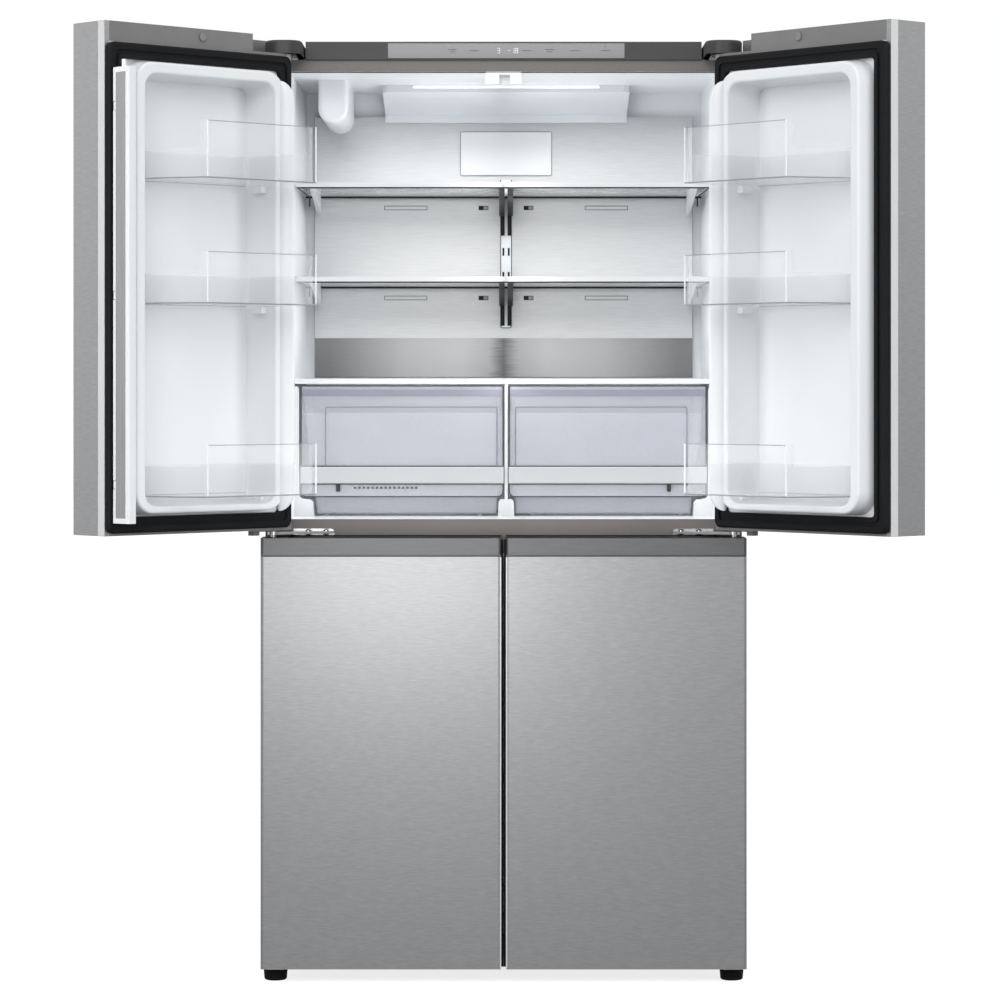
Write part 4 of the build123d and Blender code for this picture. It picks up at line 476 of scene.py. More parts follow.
for door in UPPER_DOORS:
    piece(f"{door}_edge_trim", edge_trim, door, "edge_trim", "liner_white", door)

# Screws of the middle hinges, each in a dark ring of painted shadow round its groove, on a bright boss
SCREW_INSETS = (0.0635, 0.0974)
BOSS_R = 0.0068
BOSS_HEIGHT = 0.0012
SHADOW_RING_R = 0.0061
SHADOW_RING_HEIGHT = 0.0006
DISC_EDGE = 0.3
SCREW_R = 0.0037
ARM_REACH = 0.0115
DOOR_GAP_MIDDLE = 0.0075
screw_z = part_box("lower_left_door_end_caps")[1].z + DOOR_GAP_MIDDLE
screw_spots = [
    Vector((side * (hinge_x - inset), cabinet_low.y - ARM_REACH, screw_z))
    for side in SIDES for inset in SCREW_INSETS
]
hinge_screws = [(spot + (BOSS_HEIGHT + SHADOW_RING_HEIGHT) * forward, forward) for spot in screw_spots]


def discs(work, radius, height, lift):
    """Flat discs with a softened edge, one on each screw's spot."""
    edge = DISC_EDGE * height
    outline = [(0, 0), (radius, 0), (radius, height - edge), (radius - edge, height), (0, height)]
    for spot in screw_spots:
        lathe(work, facing(forward, spot + lift * forward), outline)


piece("mid_hinge_bosses", discs, "cabinet", "hinge_metal", "hinge_metal", BOSS_R, BOSS_HEIGHT, 0.0)
piece("mid_hinge_shadow_rings", discs, "cabinet", "bracket_dark", "hinge_metal", SHADOW_RING_R, SHADOW_RING_HEIGHT, BOSS_HEIGHT)
piece("mid_hinge_screws", screw_heads, "cabinet", "hinge_metal", "hinge_metal", hinge_screws, SCREW_R)

# Display: two numbers and a row of marks
SEGMENTS = {"1": "bc", "3": "abgcd", "8": "abcdefg", "-": "g"}
panel_low, panel_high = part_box("display_panel")
panel_z = (panel_low.z + panel_high.z) / 2
MARK_DEPTH = 0.0003
DIGIT_WIDTH = 0.0052
DIGIT_HEIGHT = 0.0100
DIGIT_STROKE = 0.0011
DIGIT_PITCH = 0.0072
NUMBERS = (("3", -0.012), ("-18", 0.008))
MARK_GROUPS = ((-0.098, 2), (-0.056, 1), (0.044, 1), (0.088, 2), (0.137, 1), (0.194, 1))
MARK_LENGTH = 0.017
MARK_STROKE = 0.0013
MARK_PITCH_Z = 0.0042
MARK_SHORTENING = 0.35


def seven_segment(work, place, sign):
    """One sign of a segment display, its low left corner at the matrix's origin."""
    width, height, stroke = DIGIT_WIDTH, DIGIT_HEIGHT, DIGIT_STROKE
    half = height / 2
    bars = {
        "a": ((0, width), (height - stroke, height)),
        "d": ((0, width), (0, stroke)),
        "g": ((0, width), (half - stroke / 2, half + stroke / 2)),
        "b": ((width - stroke, width), (half, height)),
        "c": ((width - stroke, width), (0, half)),
        "e": ((0, stroke), (0, half)),
        "f": ((0, stroke), (half, height)),
    }
    for key in SEGMENTS[sign]:
        xs, zs = bars[key]
        slab(work, xs, (-MARK_DEPTH, 0), zs, stroke / 5, place)


def display_numbers(work):
    for text, start in NUMBERS:
        for index, sign in enumerate(text):
            at = (start + index * DIGIT_PITCH, panel_low.y, panel_z - DIGIT_HEIGHT / 2)
            seven_segment(work, Matrix.Translation(at), sign)


def display_marks(work):
    for x, rows in MARK_GROUPS:
        for row in range(rows):
            z = panel_z + ((rows - 1) / 2 - row) * MARK_PITCH_Z
            length = MARK_LENGTH * (1.0 - MARK_SHORTENING * row)
            slab(
                work, spread(x, length), (panel_low.y - MARK_DEPTH, panel_low.y), spread(z, MARK_STROKE),
                MARK_STROKE / 5,
            )


piece("display_numbers", display_numbers, "cabinet", "mark_light", "display_grey")
piece("display_marks", display_marks, "cabinet", "mark_dark", "display_grey")

# Humidity scale on the left crisper
slider_low, slider_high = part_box("left_humidity_slider")
SCALE_START = 0.0265
SCALE_PITCH = 0.0085
SCALE_COUNT = 15
SCALE_MARK = 0.0046
SCALE_HEIGHT = 0.8 * SCALE_MARK
SCALE_PROUD = 0.0004


def humidity_scale(work):
    z = (slider_low.z + slider_high.z) / 2
    crisper_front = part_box("left_crisper")[0].y
    for index in range(SCALE_COUNT):
        x = slider_high.x + SCALE_START + index * SCALE_PITCH
        slab(
            work, (x, x + SCALE_MARK), (crisper_front - SCALE_PROUD, crisper_front), spread(z, SCALE_HEIGHT),
            SCALE_PROUD / 3,
        )


piece("left_humidity_scale", humidity_scale, "left_crisper_drawer", "mark_dark", "knob_dark")

# Dark strips under the shelf fronts, painted shadow of the trims' lips; bars along their backs and beads along
# their sides
trim_low, trim_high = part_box("shelf_front_trims")
pane_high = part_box("shelf_glass")[1]
TRIM_HEIGHT = 0.0095
TRIM_SHADOW_HEIGHT = 0.0024
TRIM_SHADOW_INSET = 0.0012
REAR_BAR_DROP = 0.010
REAR_BAR_HEIGHT = 0.004
REAR_BAR_DEPTH = 0.008
SIDE_SEAL_R = 0.0015
SIDE_SEAL_INSET = 0.0025
SIDE_SEAL_TAPER = 0.0055
SIDE_SEAL_HOOK = 0.020
SIDE_SEAL_CORNER_R = 0.006
shelf_tops = (trim_high.z, trim_low.z + TRIM_HEIGHT)


def shelf_shadow_strips_and_bars(work):
    width = (trim_low.x, trim_high.x)
    for top in shelf_tops:
        foot = top - TRIM_HEIGHT
        bar_top = top - REAR_BAR_DROP
        # Painted shadow under the trim's lip
        slab(work, width, (trim_low.y + TRIM_SHADOW_INSET, trim_high.y), (foot - TRIM_SHADOW_HEIGHT, foot), TRIM_SHADOW_HEIGHT / 5)
        slab(
            work, width, (pane_high.y - REAR_BAR_DEPTH, pane_high.y), (bar_top - REAR_BAR_HEIGHT, bar_top),
            REAR_BAR_HEIGHT / 5,
        )


def shelf_side_seals(work):
    front_x = trim_high.x - SIDE_SEAL_INSET
    hook_y = pane_high.y - SIDE_SEAL_R
    for top in shelf_tops:
        z = top - TRIM_HEIGHT - SIDE_SEAL_R
        for side in SIDES:
            hook_x = side * (front_x - SIDE_SEAL_TAPER)
            corners = [
                Vector((side * front_x, trim_low.y + TRIM_SHADOW_INSET, z)),
                Vector((hook_x, hook_y, z)),
                Vector((hook_x, hook_y, z - SIDE_SEAL_HOOK)),
            ]
            bead(work, rounded(corners, SIDE_SEAL_CORNER_R), SIDE_SEAL_R, ALONG_X)


piece("shelf_shadow_strips_and_bars", shelf_shadow_strips_and_bars, "cabinet", "bracket_dark", "bracket_dark")
piece("shelf_side_seals", shelf_side_seals, "cabinet", "bracket_dark", "bracket_dark")

# Air slots of the back wall: dark plates of painted shade at the slots' floors, with vanes in the long ones and
# half shutters in the short ones
plate_low, plate_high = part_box("vent_plate")
fittings_x = (plate_low.x + plate_high.x) / 2
wall_y = plate_high.y
SLOT_DROP = 0.033
SLOT_HEIGHT = 0.009
SLOT_DEPTH = 0.008
SLOT_EDGE = 0.0012
LONG_SLOT = 0.088
SHORT_SLOT = 0.020
SLOTS = ((-0.205, LONG_SLOT), (-0.046, SHORT_SLOT), (0.046, SHORT_SLOT), (0.205, LONG_SLOT))
slot_rows = [top - SLOT_DROP for top in shelf_tops]


def slot_shadows(work):
    for z in slot_rows:
        for x, length in SLOTS:
            slab(
                work, spread(fittings_x + x, length), (wall_y + 0.5 * SLOT_DEPTH, wall_y + SLOT_DEPTH),
                spread(z, SLOT_HEIGHT), SLOT_EDGE / 4,
            )


def slot_fillers(work, filled_length):
    for z in slot_rows:
        for x, length in SLOTS:
            if length != filled_length:
                continue
            middle = fittings_x + x
            left, right = spread(middle, length - 2 * SLOT_EDGE)
            slab(
                work, (left if length == LONG_SLOT else middle, right),
                (wall_y + SLOT_EDGE, wall_y + 3 * SLOT_EDGE), spread(z, SLOT_HEIGHT - 2 * SLOT_EDGE),
                SLOT_EDGE / 4,
            )


piece("duct_slot_shadows", slot_shadows, "cabinet", "bracket_dark", "bracket_dark")
piece("duct_slot_vanes", slot_fillers, "cabinet", "duct_metal", "duct_metal", LONG_SLOT)
piece("duct_slot_shutters", slot_fillers, "cabinet", "plug_grey", "duct_metal", SHORT_SLOT)

# Back wall: painted shade on the duct's sloping foot and in the rail's slots, beads along edges, lit lamp strip
duct_low, duct_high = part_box("air_duct_panel")
rail_low, rail_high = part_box("shelf_rail")
FOOT_WALL = 0.0008
FOOT_TOP_Z = 1.217
FOOT_BACK_Y = 0.381
RAIL_SLOT_PITCH = 0.049
RAIL_SLOT_HEIGHT = 0.016
RAIL_SLOT_WIDTH = 0.004
RAIL_SLOT_DEPTH = 0.0035
BEAD_R = 0.0009
FLANGE_INSET = 0.003
FLANGE_SINK = 0.0015
FLANGE_R = 0.0012
PLATE_CORNER_R = 0.004
RAIL_CORNER_R = 0.005
LAMP_REACH = 0.185
LAMP_DROP = 0.004
LAMP_R = 0.0024


# A darker sloping sheet: painted shade of the recess below the duct's face
def duct_foot(work):
    profile = [
        (duct_low.y, FOOT_TOP_Z), (FOOT_BACK_Y, duct_low.z),
        (FOOT_BACK_Y - FOOT_WALL, duct_low.z), (duct_low.y - FOOT_WALL, FOOT_TOP_Z),
    ]
    tube(work, [[work.verts.new((x, y, z)) for y, z in profile] for x in (duct_low.x, duct_high.x)])


# Dark blocks at the back of the rail's slots: painted shade of the slots' depth
def rail_slot_shadows(work):
    count = int((rail_high.z - rail_low.z) / RAIL_SLOT_PITCH) - 1
    for index in range(count):
        z = rail_low.z + (index + 1) * RAIL_SLOT_PITCH
        for side in SIDES:
            x = fittings_x + side * (rail_high.x - rail_low.x) / 4
            slab(
                work, spread(x, RAIL_SLOT_WIDTH), (rail_high.y - RAIL_SLOT_DEPTH, rail_high.y),
                (z, z + RAIL_SLOT_HEIGHT), RAIL_SLOT_WIDTH / 12,
            )


def duct_edges(work):
    for x in (duct_low.x, duct_high.x):
        ends = [Vector((x, duct_low.y + BEAD_R, z)) for z in (duct_low.z, duct_high.z)]
        bead(work, ends, BEAD_R, ALONG_Y)


def flange_line(work):
    low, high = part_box("fridge_liner")
    xs = (low.x + FLANGE_INSET, high.x - FLANGE_INSET)
    ends = [Vector((x, low.y + FLANGE_SINK, high.z - FLANGE_INSET)) for x in xs]
    bead(work, ends, FLANGE_R, ALONG_Y)


def plate_bead(work):
    outline = (
        (plate_low.x, plate_low.z), (plate_high.x, plate_low.z), (plate_high.x, plate_high.z),
        (plate_low.x, plate_high.z),
    )
    corners = [Vector((x, plate_low.y, z)) for x, z in outline]
    bead(work, rounded(corners, PLATE_CORNER_R, True), BEAD_R, ALONG_Y, True)


def rail_bead(work):
    outline = (
        (rail_low.x, rail_high.z), (rail_low.x, rail_low.z), (rail_high.x, rail_low.z),
        (rail_high.x, rail_high.z),
    )
    corners = [Vector((x, rail_low.y, z)) for x, z in outline]
    bead(work, rounded(corners, RAIL_CORNER_R), BEAD_R, ALONG_Y)


def lamp_strip(work):
    low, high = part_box("lamp_lens")
    ends = [Vector((fittings_x + side * LAMP_REACH, low.y, high.z - LAMP_DROP)) for side in SIDES]
    bead(work, ends, LAMP_R, ALONG_Y)


piece("duct_foot", duct_foot, "cabinet", "duct_foot_painted_shade", "duct_metal")
piece("rail_slot_shadows", rail_slot_shadows, "cabinet", "bracket_dark", "bracket_dark")
piece("duct_edges", duct_edges, "cabinet", "bead_grey", "duct_metal")
piece("flange_line", flange_line, "cabinet", "mark_dark", "cabinet_paint")
piece("vent_plate_bead", plate_bead, "cabinet", "bead_grey", "duct_metal")
piece("rail_bead", rail_bead, "cabinet", "mark_dark", "bracket_dark")
piece("lamp_strip", lamp_strip, "cabinet", "lamp_lit", "lens_white")

# Crisper drawers: dark edge lines, painted shade of the clear plastic's edges, and a soft frame and rim band
# moulded on the face
FACE_FOOT_Z = 0.9032
FACE_CORNER_R = 0.012
FRAME_TOP_Z = 1.078
FRAME_OUTER = 0.352
FRAME_INNER = 0.018
FRAME_CORNER_R = 0.005
RIM_BAND = (0.0205, 0.0080)
RIM_PROUD = 0.0006
EDGE_R = 0.0011


def crisper_edge_shade(work, name):
    low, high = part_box(f"{name}_crisper")
    handle_low, handle_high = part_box(f"{name}_crisper_handle")
    left = low.x + EDGE_R
    right = high.x - EDGE_R
    rim = high.z - EDGE_R
    lines = [
        [(left, handle_low.z - EDGE_R), (right, handle_low.z - EDGE_R)],
        [(left, handle_high.z + EDGE_R), (right, handle_high.z + EDGE_R)],
        [(left, handle_high.z), (left, rim)],
        [(right, handle_high.z), (right, rim)],
        [(left, rim), (right, rim)],
        [(left, handle_low.z), (left, FACE_FOOT_Z), (right, FACE_FOOT_Z), (right, handle_low.z)],
    ]
    for line in lines:
        corners = [Vector((x, low.y, z)) for x, z in line]
        bead(work, rounded(corners, FACE_CORNER_R), EDGE_R, ALONG_Y)


def crisper_frame(work, side, name):
    low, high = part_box(f"{name}_crisper")
    handle_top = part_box(f"{name}_crisper_handle")[1].z
    outer = fittings_x + side * FRAME_OUTER
    inner = fittings_x + side * FRAME_INNER
    outline = ((outer, handle_top), (outer, FRAME_TOP_Z), (inner, FRAME_TOP_Z), (inner, handle_top))
    corners = [Vector((x, low.y, z)) for x, z in outline]
    bead(work, rounded(corners, FRAME_CORNER_R), EDGE_R, ALONG_Y)
    slab(
        work, (low.x + 3 * EDGE_R, high.x - 3 * EDGE_R), (low.y - RIM_PROUD, low.y),
        [high.z - drop for drop in RIM_BAND], RIM_PROUD / 3,
    )


for side, name in zip(SIDES, ("left", "right")):
    drawer = f"{name}_crisper_drawer"
    piece(f"{name}_crisper_edge_shade", crisper_edge_shade, drawer, "edge_shade_violet", "bin_clear", name)
    piece(f"{name}_crisper_frame", crisper_frame, drawer, "frame_violet", "bin_clear", side, name)

# White guides on the floor and walls of the liner that the crispers run between
GUIDE_FRONT_Y = 0.035
GUIDE_BACK_Y = 0.075
GUIDE_BEVEL = 0.0012
CENTRE_GUIDE_SETBACK = 0.010
SIDE_GUIDE = (
    (0.4085, 0.8640), (0.3690, 0.8640), (0.3705, 0.8930), (0.3760, 0.8980), (0.3900, 0.8985),
    (0.3960, 0.9010), (0.3985, 0.9070), (0.3985, 1.1120), (0.4010, 1.1180), (0.4085, 1.1180),
)
CENTRE_GUIDE = (
    (-0.0160, 0.8640), (0.0160, 0.8640), (0.0150, 0.8930), (0.0110, 0.8985), (-0.0110, 0.8985),
    (-0.0150, 0.8930),
)


def crisper_guides(work):
    for side in SIDES:
        prism(work, [(side * x, z) for x, z in SIDE_GUIDE], GUIDE_FRONT_Y, GUIDE_BACK_Y, GUIDE_BEVEL)
    centre_front = GUIDE_FRONT_Y + CENTRE_GUIDE_SETBACK
    prism(work, [(fittings_x + x, z) for x, z in CENTRE_GUIDE], centre_front, GUIDE_BACK_Y, GUIDE_BEVEL)


piece("crisper_guides", crisper_guides, "cabinet", "trim_white", "liner_white")

# Beads on the bins: base and rim edges in grey, painted shade of the clear plastic's edges; the front corner and
# the hinge end in white, painted highlight; the index is that of the point near the middle of the rounded front
# corner
BIN_HINGE_U = 0.058
BIN_FREE_MARGIN = 0.0687
BIN_CORNER_MARGIN = 0.1147
BIN_BEND_V = 0.090
BIN_FRONT_V = 0.188
BIN_BACK_V = 0.0128
BIN_BACK_HINGE_U = 0.079
BIN_BACK_MARGIN = 0.0705
BIN_CORNER_R = 0.010
BIN_CORNER_INDEX = 4
BIN_BASE_LIFT = 0.0015
BIN_BASE_R = 0.0012
BIN_BACK_R = 0.0009
BIN_RIM_R = 0.7 * BEAD_R
BIN_UPRIGHT_LIFT = 0.003
BIN_UPRIGHT_R = 0.0014


def bin_path(side, corners, z):
    """A level path through (u, v) corners in the axes of the bin's door."""
    place = door_place(f"{side}_door")
    return rounded([place @ Vector((u, v, z)) for u, v in corners], BIN_CORNER_R)


bin_front = (
    (free_u - BIN_FREE_MARGIN, BIN_BEND_V), (free_u - BIN_CORNER_MARGIN, BIN_FRONT_V),
    (BIN_HINGE_U, BIN_FRONT_V),
)
bin_back = (
    (free_u - BIN_BACK_MARGIN, BIN_BEND_V), (free_u - BIN_BACK_MARGIN, BIN_BACK_V),
    (BIN_BACK_HINGE_U, BIN_BACK_V),
)


# Grey beads: painted shade along the clear plastic's edges
def bin_edge_shade(work, side, level):
    low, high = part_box(f"{side}_door_{level}_bin")
    base_z = low.z + BIN_BASE_LIFT
    bead(work, bin_path(side, bin_front, base_z), BIN_BASE_R, ALONG_Z)
    bead(work, bin_path(side, bin_back, base_z), BIN_BACK_R, ALONG_Z)
    bead(work, bin_path(side, bin_front, high.z - BEAD_R)[BIN_CORNER_INDEX:], BIN_RIM_R, ALONG_Z)


# White beads: painted highlight on the front corner and the hinge end
def bin_corner_highlight(work, side, level):
    low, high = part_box(f"{side}_door_{level}_bin")
    for index in (BIN_CORNER_INDEX, -1):
        ends = [bin_path(side, bin_front, z)[index] for z in (low.z + BIN_UPRIGHT_LIFT, high.z)]
        bead(work, ends, BIN_UPRIGHT_R, ALONG_X)


for side in ("left", "right"):
    for level in ("upper", "middle", "lower"):
        body = f"{side}_{level}_bin"
        piece(f"{body}_edges", bin_edge_shade, body, "bead_grey", "bin_clear", side, level)
        piece(f"{body}_corner", bin_corner_highlight, body, "highlight_white", "bin_clear", side, level)

# Raised bead along the hinge side of each upper door's inner panel, fading into the panel at both ends
RIDGE_FOOT = (0.0580, 0.0840)
RIDGE_SECTION = (
    (0.0580, 0.0840), (0.0520, 0.0925), (0.0450, 0.0990), (0.0395, 0.1015), (0.0350, 0.1010),
    (0.0328, 0.0985), (0.0330, 0.0940), (0.0400, 0.0740), (0.0460, 0.0620), (0.0520, 0.0640),
)
RIDGE_LOW_MARGIN = 0.024
RIDGE_HIGH_MARGIN = 0.052
RIDGE_FADE = 0.038
RIDGE_THINNEST = 0.02
FADE_STEPS = (0.0, 0.03, 0.10, 0.22, 0.40, 0.65, 1.0)


def ridge_bead(work, door):
    place = door_place(door)
    liner_low, liner_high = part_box(f"{door}_liner")
    low = liner_low.z + RIDGE_LOW_MARGIN
    high = liner_high.z - RIDGE_HIGH_MARGIN
    stations = [(low + RIDGE_FADE * t, t) for t in FADE_STEPS]
    stations += [(high - RIDGE_FADE * t, t) for t in reversed(FADE_STEPS)]
    foot_u, foot_v = RIDGE_FOOT
    rings = []
    for z, t in stations:
        share = max(RIDGE_THINNEST, math.sqrt(1 - (1 - t) ** 2))
        section = [(foot_u + share * (u - foot_u), foot_v + share * (v - foot_v)) for u, v in RIDGE_SECTION]
        rings.append([work.verts.new(place @ Vector((u, v, z))) for u, v in section])
    for face in tube(work, rings):
        face.smooth = True


for door in UPPER_DOORS:
    piece(f"{door}_ridge_bead", ridge_bead, door, "liner_white", "liner_white", door)

# Lower doors: dark line of painted shadow under the grip cap, bright line of painted highlight and black fin of
# painted shade along the free side, black strip of painted shadow on top
CAP_SHADOW_R = 0.0010
CAP_SHADOW_SINK = 0.6 * CAP_SHADOW_R
EDGE_HIGHLIGHT_R = 0.0015
EDGE_HIGHLIGHT_INSET = 0.0014
FIN_REACH = 0.0034
FIN_FRONT = 0.022
FIN_WALL = 0.003
TOP_SHADOW_FRONT = 0.007
TOP_SHADOW_WALL = 0.0006
TOP_SHADOW_LIP_DEPTH = 0.003
TOP_SHADOW_LIP_HEIGHT = 0.0022
TOP_SHADOW_HINGE_GAP = 0.030
LOWER_DOORS = tuple(zip(SIDES, ("lower_left_door", "lower_right_door")))


def mirrored(side, *xs):
    """Coordinates on the left door carried over to a side, in rising order."""
    return sorted(-side * x for x in xs)


def free_edge(side, door):
    """The free side of a lower door, as if it were on the left."""
    low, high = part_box(f"{door}_skin")
    return max(-side * low.x, -side * high.x)


# A dark bead of painted shadow under the grip cap
def cap_shadow_line(work, door):
    low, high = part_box(f"{door}_skin")
    ends = [Vector((x, low.y + CAP_SHADOW_SINK, high.z)) for x in (low.x + CAP_SHADOW_R, high.x - CAP_SHADOW_R)]
    bead(work, ends, CAP_SHADOW_R, ALONG_Y)


# A bright bead of painted highlight along the rounded free edge
def edge_highlight(work, side, door):
    low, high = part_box(f"{door}_skin")
    x = -side * (free_edge(side, door) - EDGE_HIGHLIGHT_INSET)
    zs = (low.z + EDGE_HIGHLIGHT_R, high.z - EDGE_HIGHLIGHT_R)
    bead(work, [Vector((x, low.y + EDGE_HIGHLIGHT_INSET, z)) for z in zs], EDGE_HIGHLIGHT_R, ALONG_Y)


# A black fin that paints the gap between the lower doors in shade
def gap_shade_fin(work, side, door):
    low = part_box(f"{door}_skin")[0]
    cap_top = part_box(f"{door}_end_caps")[1].z
    free_x = free_edge(side, door)
    front = low.y + FIN_FRONT
    slab(
        work, mirrored(side, free_x, free_x + FIN_REACH), (front, front + FIN_WALL),
        (low.z + FIN_WALL, cap_top - FIN_WALL), FIN_WALL / 4,
    )


# A black strip on top of the door: painted shadow of the gap above it
def top_shadow_strip(work, side, door):
    low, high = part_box(f"{door}_skin")
    cap_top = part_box(f"{door}_end_caps")[1].z
    xs = mirrored(side, -hinge_x + TOP_SHADOW_HINGE_GAP, free_edge(side, door))
    slab(work, xs, (low.y + TOP_SHADOW_FRONT, high.y), (cap_top, cap_top + TOP_SHADOW_WALL), TOP_SHADOW_WALL / 4)
    slab(
        work, xs, (high.y - TOP_SHADOW_LIP_DEPTH, high.y), (cap_top + TOP_SHADOW_WALL, cap_top + TOP_SHADOW_LIP_HEIGHT),
        TOP_SHADOW_WALL / 2,
    )


for _, door in LOWER_DOORS:
    piece(f"{door}_seam", cap_shadow_line, door, "mark_dark", "cap_grey", door)
for side, door in LOWER_DOORS:
    piece(f"{door}_edge_highlight", edge_highlight, door, "edge_highlight_steel", "door_steel", side, door)
    piece(f"{door}_gap_shade_fin", gap_shade_fin, door, "gasket_black", "gasket_black", side, door)
    piece(f"{door}_top_shadow_strip", top_shadow_strip, door, "gasket_black", "gasket_black", side, door)

# Plugs in the top caps of the upper doors
PLUG_DROP = 0.015
PLUG_BASE = 0.003
PLUG_PROFILE = (
    (0.0074, -0.0004), (0.0074, 0.0002), (0.0066, 0.0005), (0.0050, 0.0007), (0.0044, 0.0003), (0, 0.0003),
)


def cap_plug(work, door):
    cap_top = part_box(f"{door}_end_caps")[1].z
    middle_u = (free_u - (cabinet_high.x - hinge_x)) / 2
    at = Vector((middle_u, back_v + PLUG_BASE, cap_top - PLUG_DROP))
    lathe(work, door_place(door) @ facing(backward, at), PLUG_PROFILE)


for door in UPPER_DOORS:
    piece(f"{door}_cap_plug", cap_plug, door, "plug_grey", "cap_grey", door)

# Back and top: corner strips beside the machine cover, and screws of the rear sheet and the covers
rear_low, rear_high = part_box("rear_panel")
cover_low, cover_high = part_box("machine_cover")
top_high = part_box("top_cover")[1]
hinge_cover_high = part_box("hinge_covers")[1]
rear_y = cabinet_high.y
STRIP_LAP = 0.004
STRIP_WALL = 0.0010
FLAT_SCREW_R = 0.0055
FLAT_SCREW_HEIGHT = 0.35
REAR_SCREW_INSET = 0.016
REAR_SCREW_ROWS = 7
STRIP_SCREW_INSET = 0.6 * REAR_SCREW_INSET
STRIP_SCREW_ZS = (0.09, 0.24)
COVER_SCREW_XS = (-0.40, -0.135, 0.135, 0.40)
TOP_SCREW_Y = -0.06
TOP_SCREW_XS = (-0.30, 0.0, 0.30)
HINGE_COVER_SCREW_INSET = 0.035
HINGE_COVER_SCREW_YS = (-0.07, -0.02)


def rear_strips(work):
    for side in SIDES:
        xs = sorted((side * (cover_high.x - STRIP_LAP), side * (rear_high.x - STRIP_WALL)))
        zs = (cover_low.z + STRIP_WALL, cover_high.z + STRIP_LAP)
        slab(work, xs, (rear_y - STRIP_WALL, rear_y + STRIP_WALL), zs, STRIP_WALL / 3)


rear_spots = []
for side in SIDES:
    for row in range(REAR_SCREW_ROWS):
        share = (row + 0.5) / REAR_SCREW_ROWS
        z = rear_low.z + share * (rear_high.z - rear_low.z)
        rear_spots.append((side * (rear_high.x - REAR_SCREW_INSET), rear_y, z))
    for z in STRIP_SCREW_ZS:
        rear_spots.append((side * (rear_high.x - STRIP_SCREW_INSET), rear_y + STRIP_WALL, z))
for x in COVER_SCREW_XS:
    for z in (cover_low.z + REAR_SCREW_INSET, cover_high.z - REAR_SCREW_INSET):
        rear_spots.append((x, rear_y, z))
rear_screws = [(Vector(spot), backward) for spot in rear_spots]

top_spots = [(x, TOP_SCREW_Y, top_high.z) for x in TOP_SCREW_XS]
for side in SIDES:
    for y in HINGE_COVER_SCREW_YS:
        top_spots.append((side * (hinge_cover_high.x - HINGE_COVER_SCREW_INSET), y, hinge_cover_high.z))
top_screws = [(Vector(spot), upward) for spot in top_spots]

flat_screw = (FLAT_SCREW_R, FLAT_SCREW_HEIGHT)
piece("rear_corner_strips", rear_strips, "cabinet", "rear_sheet", "rear_sheet")
piece("rear_screws", screw_heads, "cabinet", "hinge_metal", "hinge_metal", rear_screws, *flat_screw)
piece("top_screws", screw_heads, "cabinet", "cover_dark", "cover_dark", top_screws, *flat_screw)


# Studio

FLOOR_REACH = 28.0
FLOOR_TONE = (0.35, 0.35, 0.35)
FLOOR_GLOW = 0.80
SURROUND_R = 30.0
SURROUND_TONE = (0.0, 0.0, 0.0)
SURROUND_GLOW = 1.0
STAGE_ROUGH = 0.9
STAGE_CLOUD = (0.4, 0.4, 0.4)
STAGE_SHADE = 0.99
SKY = [(0.40, (0.26, 0.26, 0.27)), (0.62, (1.0, 1.0, 1.0))]
SKY_STRENGTH = 0.75

# Soft boxes: name, place, aim, width, height, power, and whether gloss mirrors them
KEY_LIGHT = ("key_box", (-0.6, -5.2, 3.4), (0, 0.1, 1.1), 2.4, 2.4, 92.0, True)
# These stand on both sides, here as on the right
PAIRED_LIGHTS = (
    ("side_box", (2.4, -1.70, 1.55), (-0.6, -0.3, 1.35), 0.9, 1.5, 21.0, False),
    ("wall_fill", (0.0, 0.0, 1.38), (1.0, 0.0, 1.38), 0.06, 0.55, 0.40, False),
    ("space_fill", (0.0, 0.16, 1.225), (1.0, 0.16, 1.225), 0.06, 0.12, 0.32, False),
    ("space_fill", (0.0, 0.16, 1.415), (1.0, 0.16, 1.415), 0.06, 0.12, 0.32, False),
    ("space_fill", (0.0, 0.16, 1.580), (1.0, 0.16, 1.580), 0.06, 0.12, 0.10, False),
    ("corner_fill", (0.380, -0.06, 0.99), (0.50, 0.0, 0.99), 0.06, 0.22, 0.03, False),
)
SINGLE_LIGHTS = (
    ("door_glow", (-0.25, -1.75, 0.74), (-0.25, 0.0, 0.74), 0.6, 0.4, 1.15, True),
    ("left_glow", (-0.14, -2.0, 0.45), (-0.14, 0.0, 0.45), 0.9, 0.9, 0.45, True),
    ("left_wash", (-4.0, 0.6, 1.30), (0.0, 0.0, 1.30), 2.0, 2.0, 2.6, True),
    ("right_wash", (4.0, 0.6, 1.30), (0.0, 0.0, 1.30), 2.0, 2.0, 1.0, True),
    ("lamp_glow", (0.005, 0.20, 1.62), (0.005, 0.16, 1.0), 0.46, 0.14, 0.6, False),
    ("inside_fill", (0.0, -0.22, 1.40), (0.0, 0.3, 1.38), 0.7, 0.7, 0.35, False),
    ("floor_fill", (0.0, -0.12, 1.30), (0.0, -0.10, 0.86), 0.78, 0.06, 0.9, False),
    ("ceiling_fill", (0.0, 0.02, 1.15), (0.0, 0.05, 1.7), 0.7, 0.2, 0.50, False),
    ("crisper_fill", (0.0, -0.62, 0.80), (0.0, 0.05, 1.0), 0.7, 0.1, 1.1, False),
)

SENSOR = 36.0
LENS = 124.5
LENS_SHIFT = (-0.0036, -0.111)
CAMERA_AT = (0.0, -6.6954, 1.113)
SIGHT = 100.0


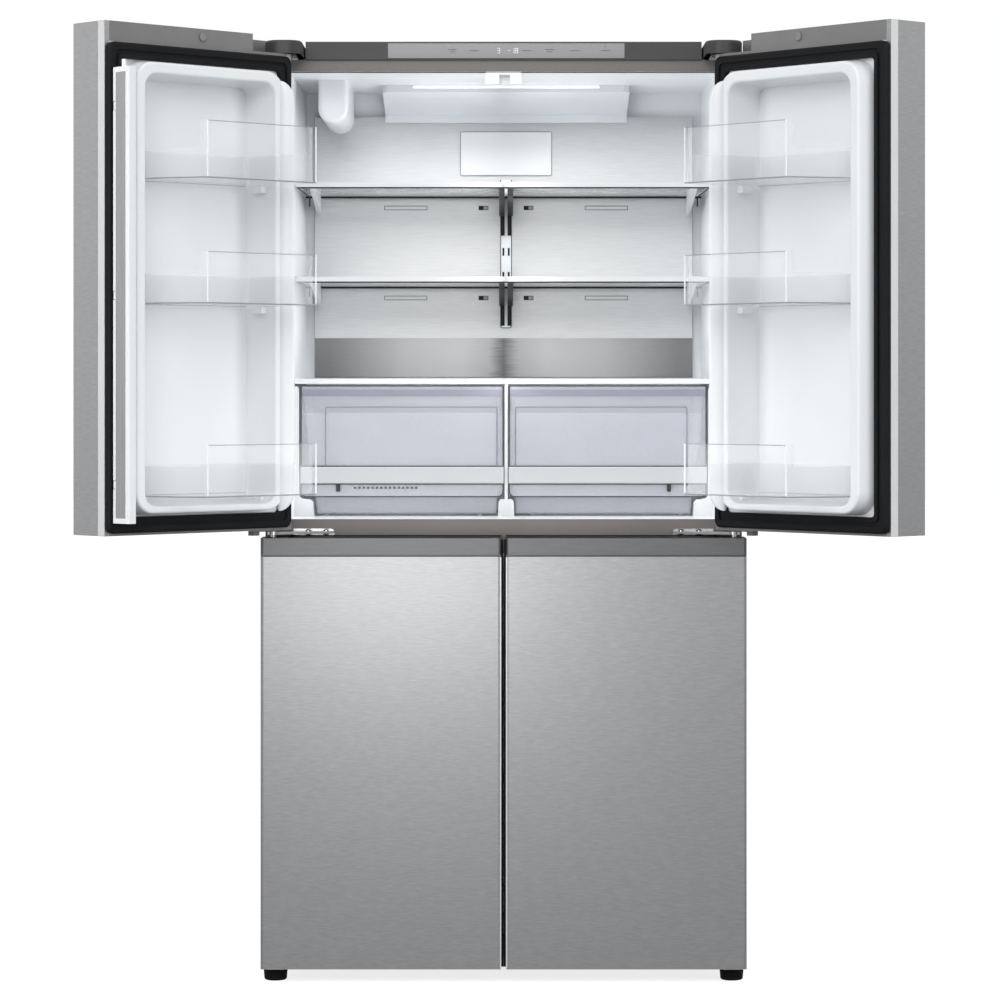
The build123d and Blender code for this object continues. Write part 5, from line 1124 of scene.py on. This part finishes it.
def area_light(name, at, aim, width, height, power, in_gloss):
    """A soft box that the camera does not see, and gloss only where it is mirrored."""
    light = bpy.data.lights.new(name, "AREA")
    light.shape = "RECTANGLE"
    light.size = width
    light.size_y = height
    light.energy = power
    made = bpy.data.objects.new(name, light)
    made.location = at
    made.rotation_mode = "QUATERNION"
    made.rotation_quaternion = (Vector(aim) - Vector(at)).to_track_quat("-Z", "Y")
    made.visible_camera = False
    made.visible_glossy = in_gloss
    bpy.context.scene.collection.objects.link(made)


def stage_material(name, colour, strength):
    """Pale backdrop that is mostly lit by itself, so that shadows on it stay faint."""
    tree, bsdf = material(name, STAGE_ROUGH)
    tint(tree, bsdf, noise(tree, STAGE_CLOUD, FINE_DETAIL), shade(colour, STAGE_SHADE), colour)
    glow(bsdf, strength)
    return finish[name]


def build_stage():
    """A pale floor and a white surround."""
    floor_mesh = bpy.data.meshes.new("studio_floor")
    corners = [(x * FLOOR_REACH, y * FLOOR_REACH, 0) for x, y in ((-1, -1), (1, -1), (1, 1), (-1, 1))]
    floor_mesh.from_pydata(corners, [], [(0, 1, 2, 3)])
    floor = bpy.data.objects.new("studio_floor", floor_mesh)
    floor_mesh.materials.append(stage_material("studio_floor", FLOOR_TONE, FLOOR_GLOW))

    work = bmesh.new()
    bmesh.ops.create_icosphere(work, subdivisions=4, radius=SURROUND_R)
    bmesh.ops.reverse_faces(work, faces=work.faces)
    surround_mesh = bpy.data.meshes.new("studio_surround")
    work.to_mesh(surround_mesh)
    work.free()
    surround = bpy.data.objects.new("studio_surround", surround_mesh)
    surround_mesh.materials.append(stage_material("studio_surround", SURROUND_TONE, SURROUND_GLOW))
    for made in (floor, surround):
        bpy.context.scene.collection.objects.link(made)
        made.visible_glossy = False
        made.visible_diffuse = False
        made.visible_shadow = False


def build_world():
    """Soft light, brighter from above than from the floor's side."""
    world = bpy.data.worlds.new("studio_light")
    world.use_nodes = True
    tree = world.node_tree
    back = tree.nodes["Background"]
    height = carry(tree, coordinate(tree, "Generated", "Z"), (-1.0, 1.0), (0.0, 1.0))
    tree.links.new(ramp(tree, height, SKY), back.inputs["Color"])
    back.inputs["Strength"].default_value = SKY_STRENGTH
    bpy.context.scene.world = world


build_world()
build_stage()
area_light(*KEY_LIGHT)
for side in SIDES:
    for name, (x, y, z), (aim_x, aim_y, aim_z), *rest in PAIRED_LIGHTS:
        area_light(f"{name}_{side}", (side * x, y, z), (side * aim_x, aim_y, aim_z), *rest)
for row in SINGLE_LIGHTS:
    area_light(*row)

camera = bpy.data.objects.new("camera", bpy.data.cameras.new("camera"))
camera.data.sensor_width = SENSOR
camera.data.lens = LENS
camera.data.shift_x, camera.data.shift_y = LENS_SHIFT
camera.location = CAMERA_AT
camera.rotation_euler = (math.pi / 2, 0.0, 0.0)
camera.data.clip_end = SIGHT
bpy.context.scene.collection.objects.link(camera)
bpy.context.scene.camera = camera
bpy.context.scene.view_settings.view_transform = "Standard"
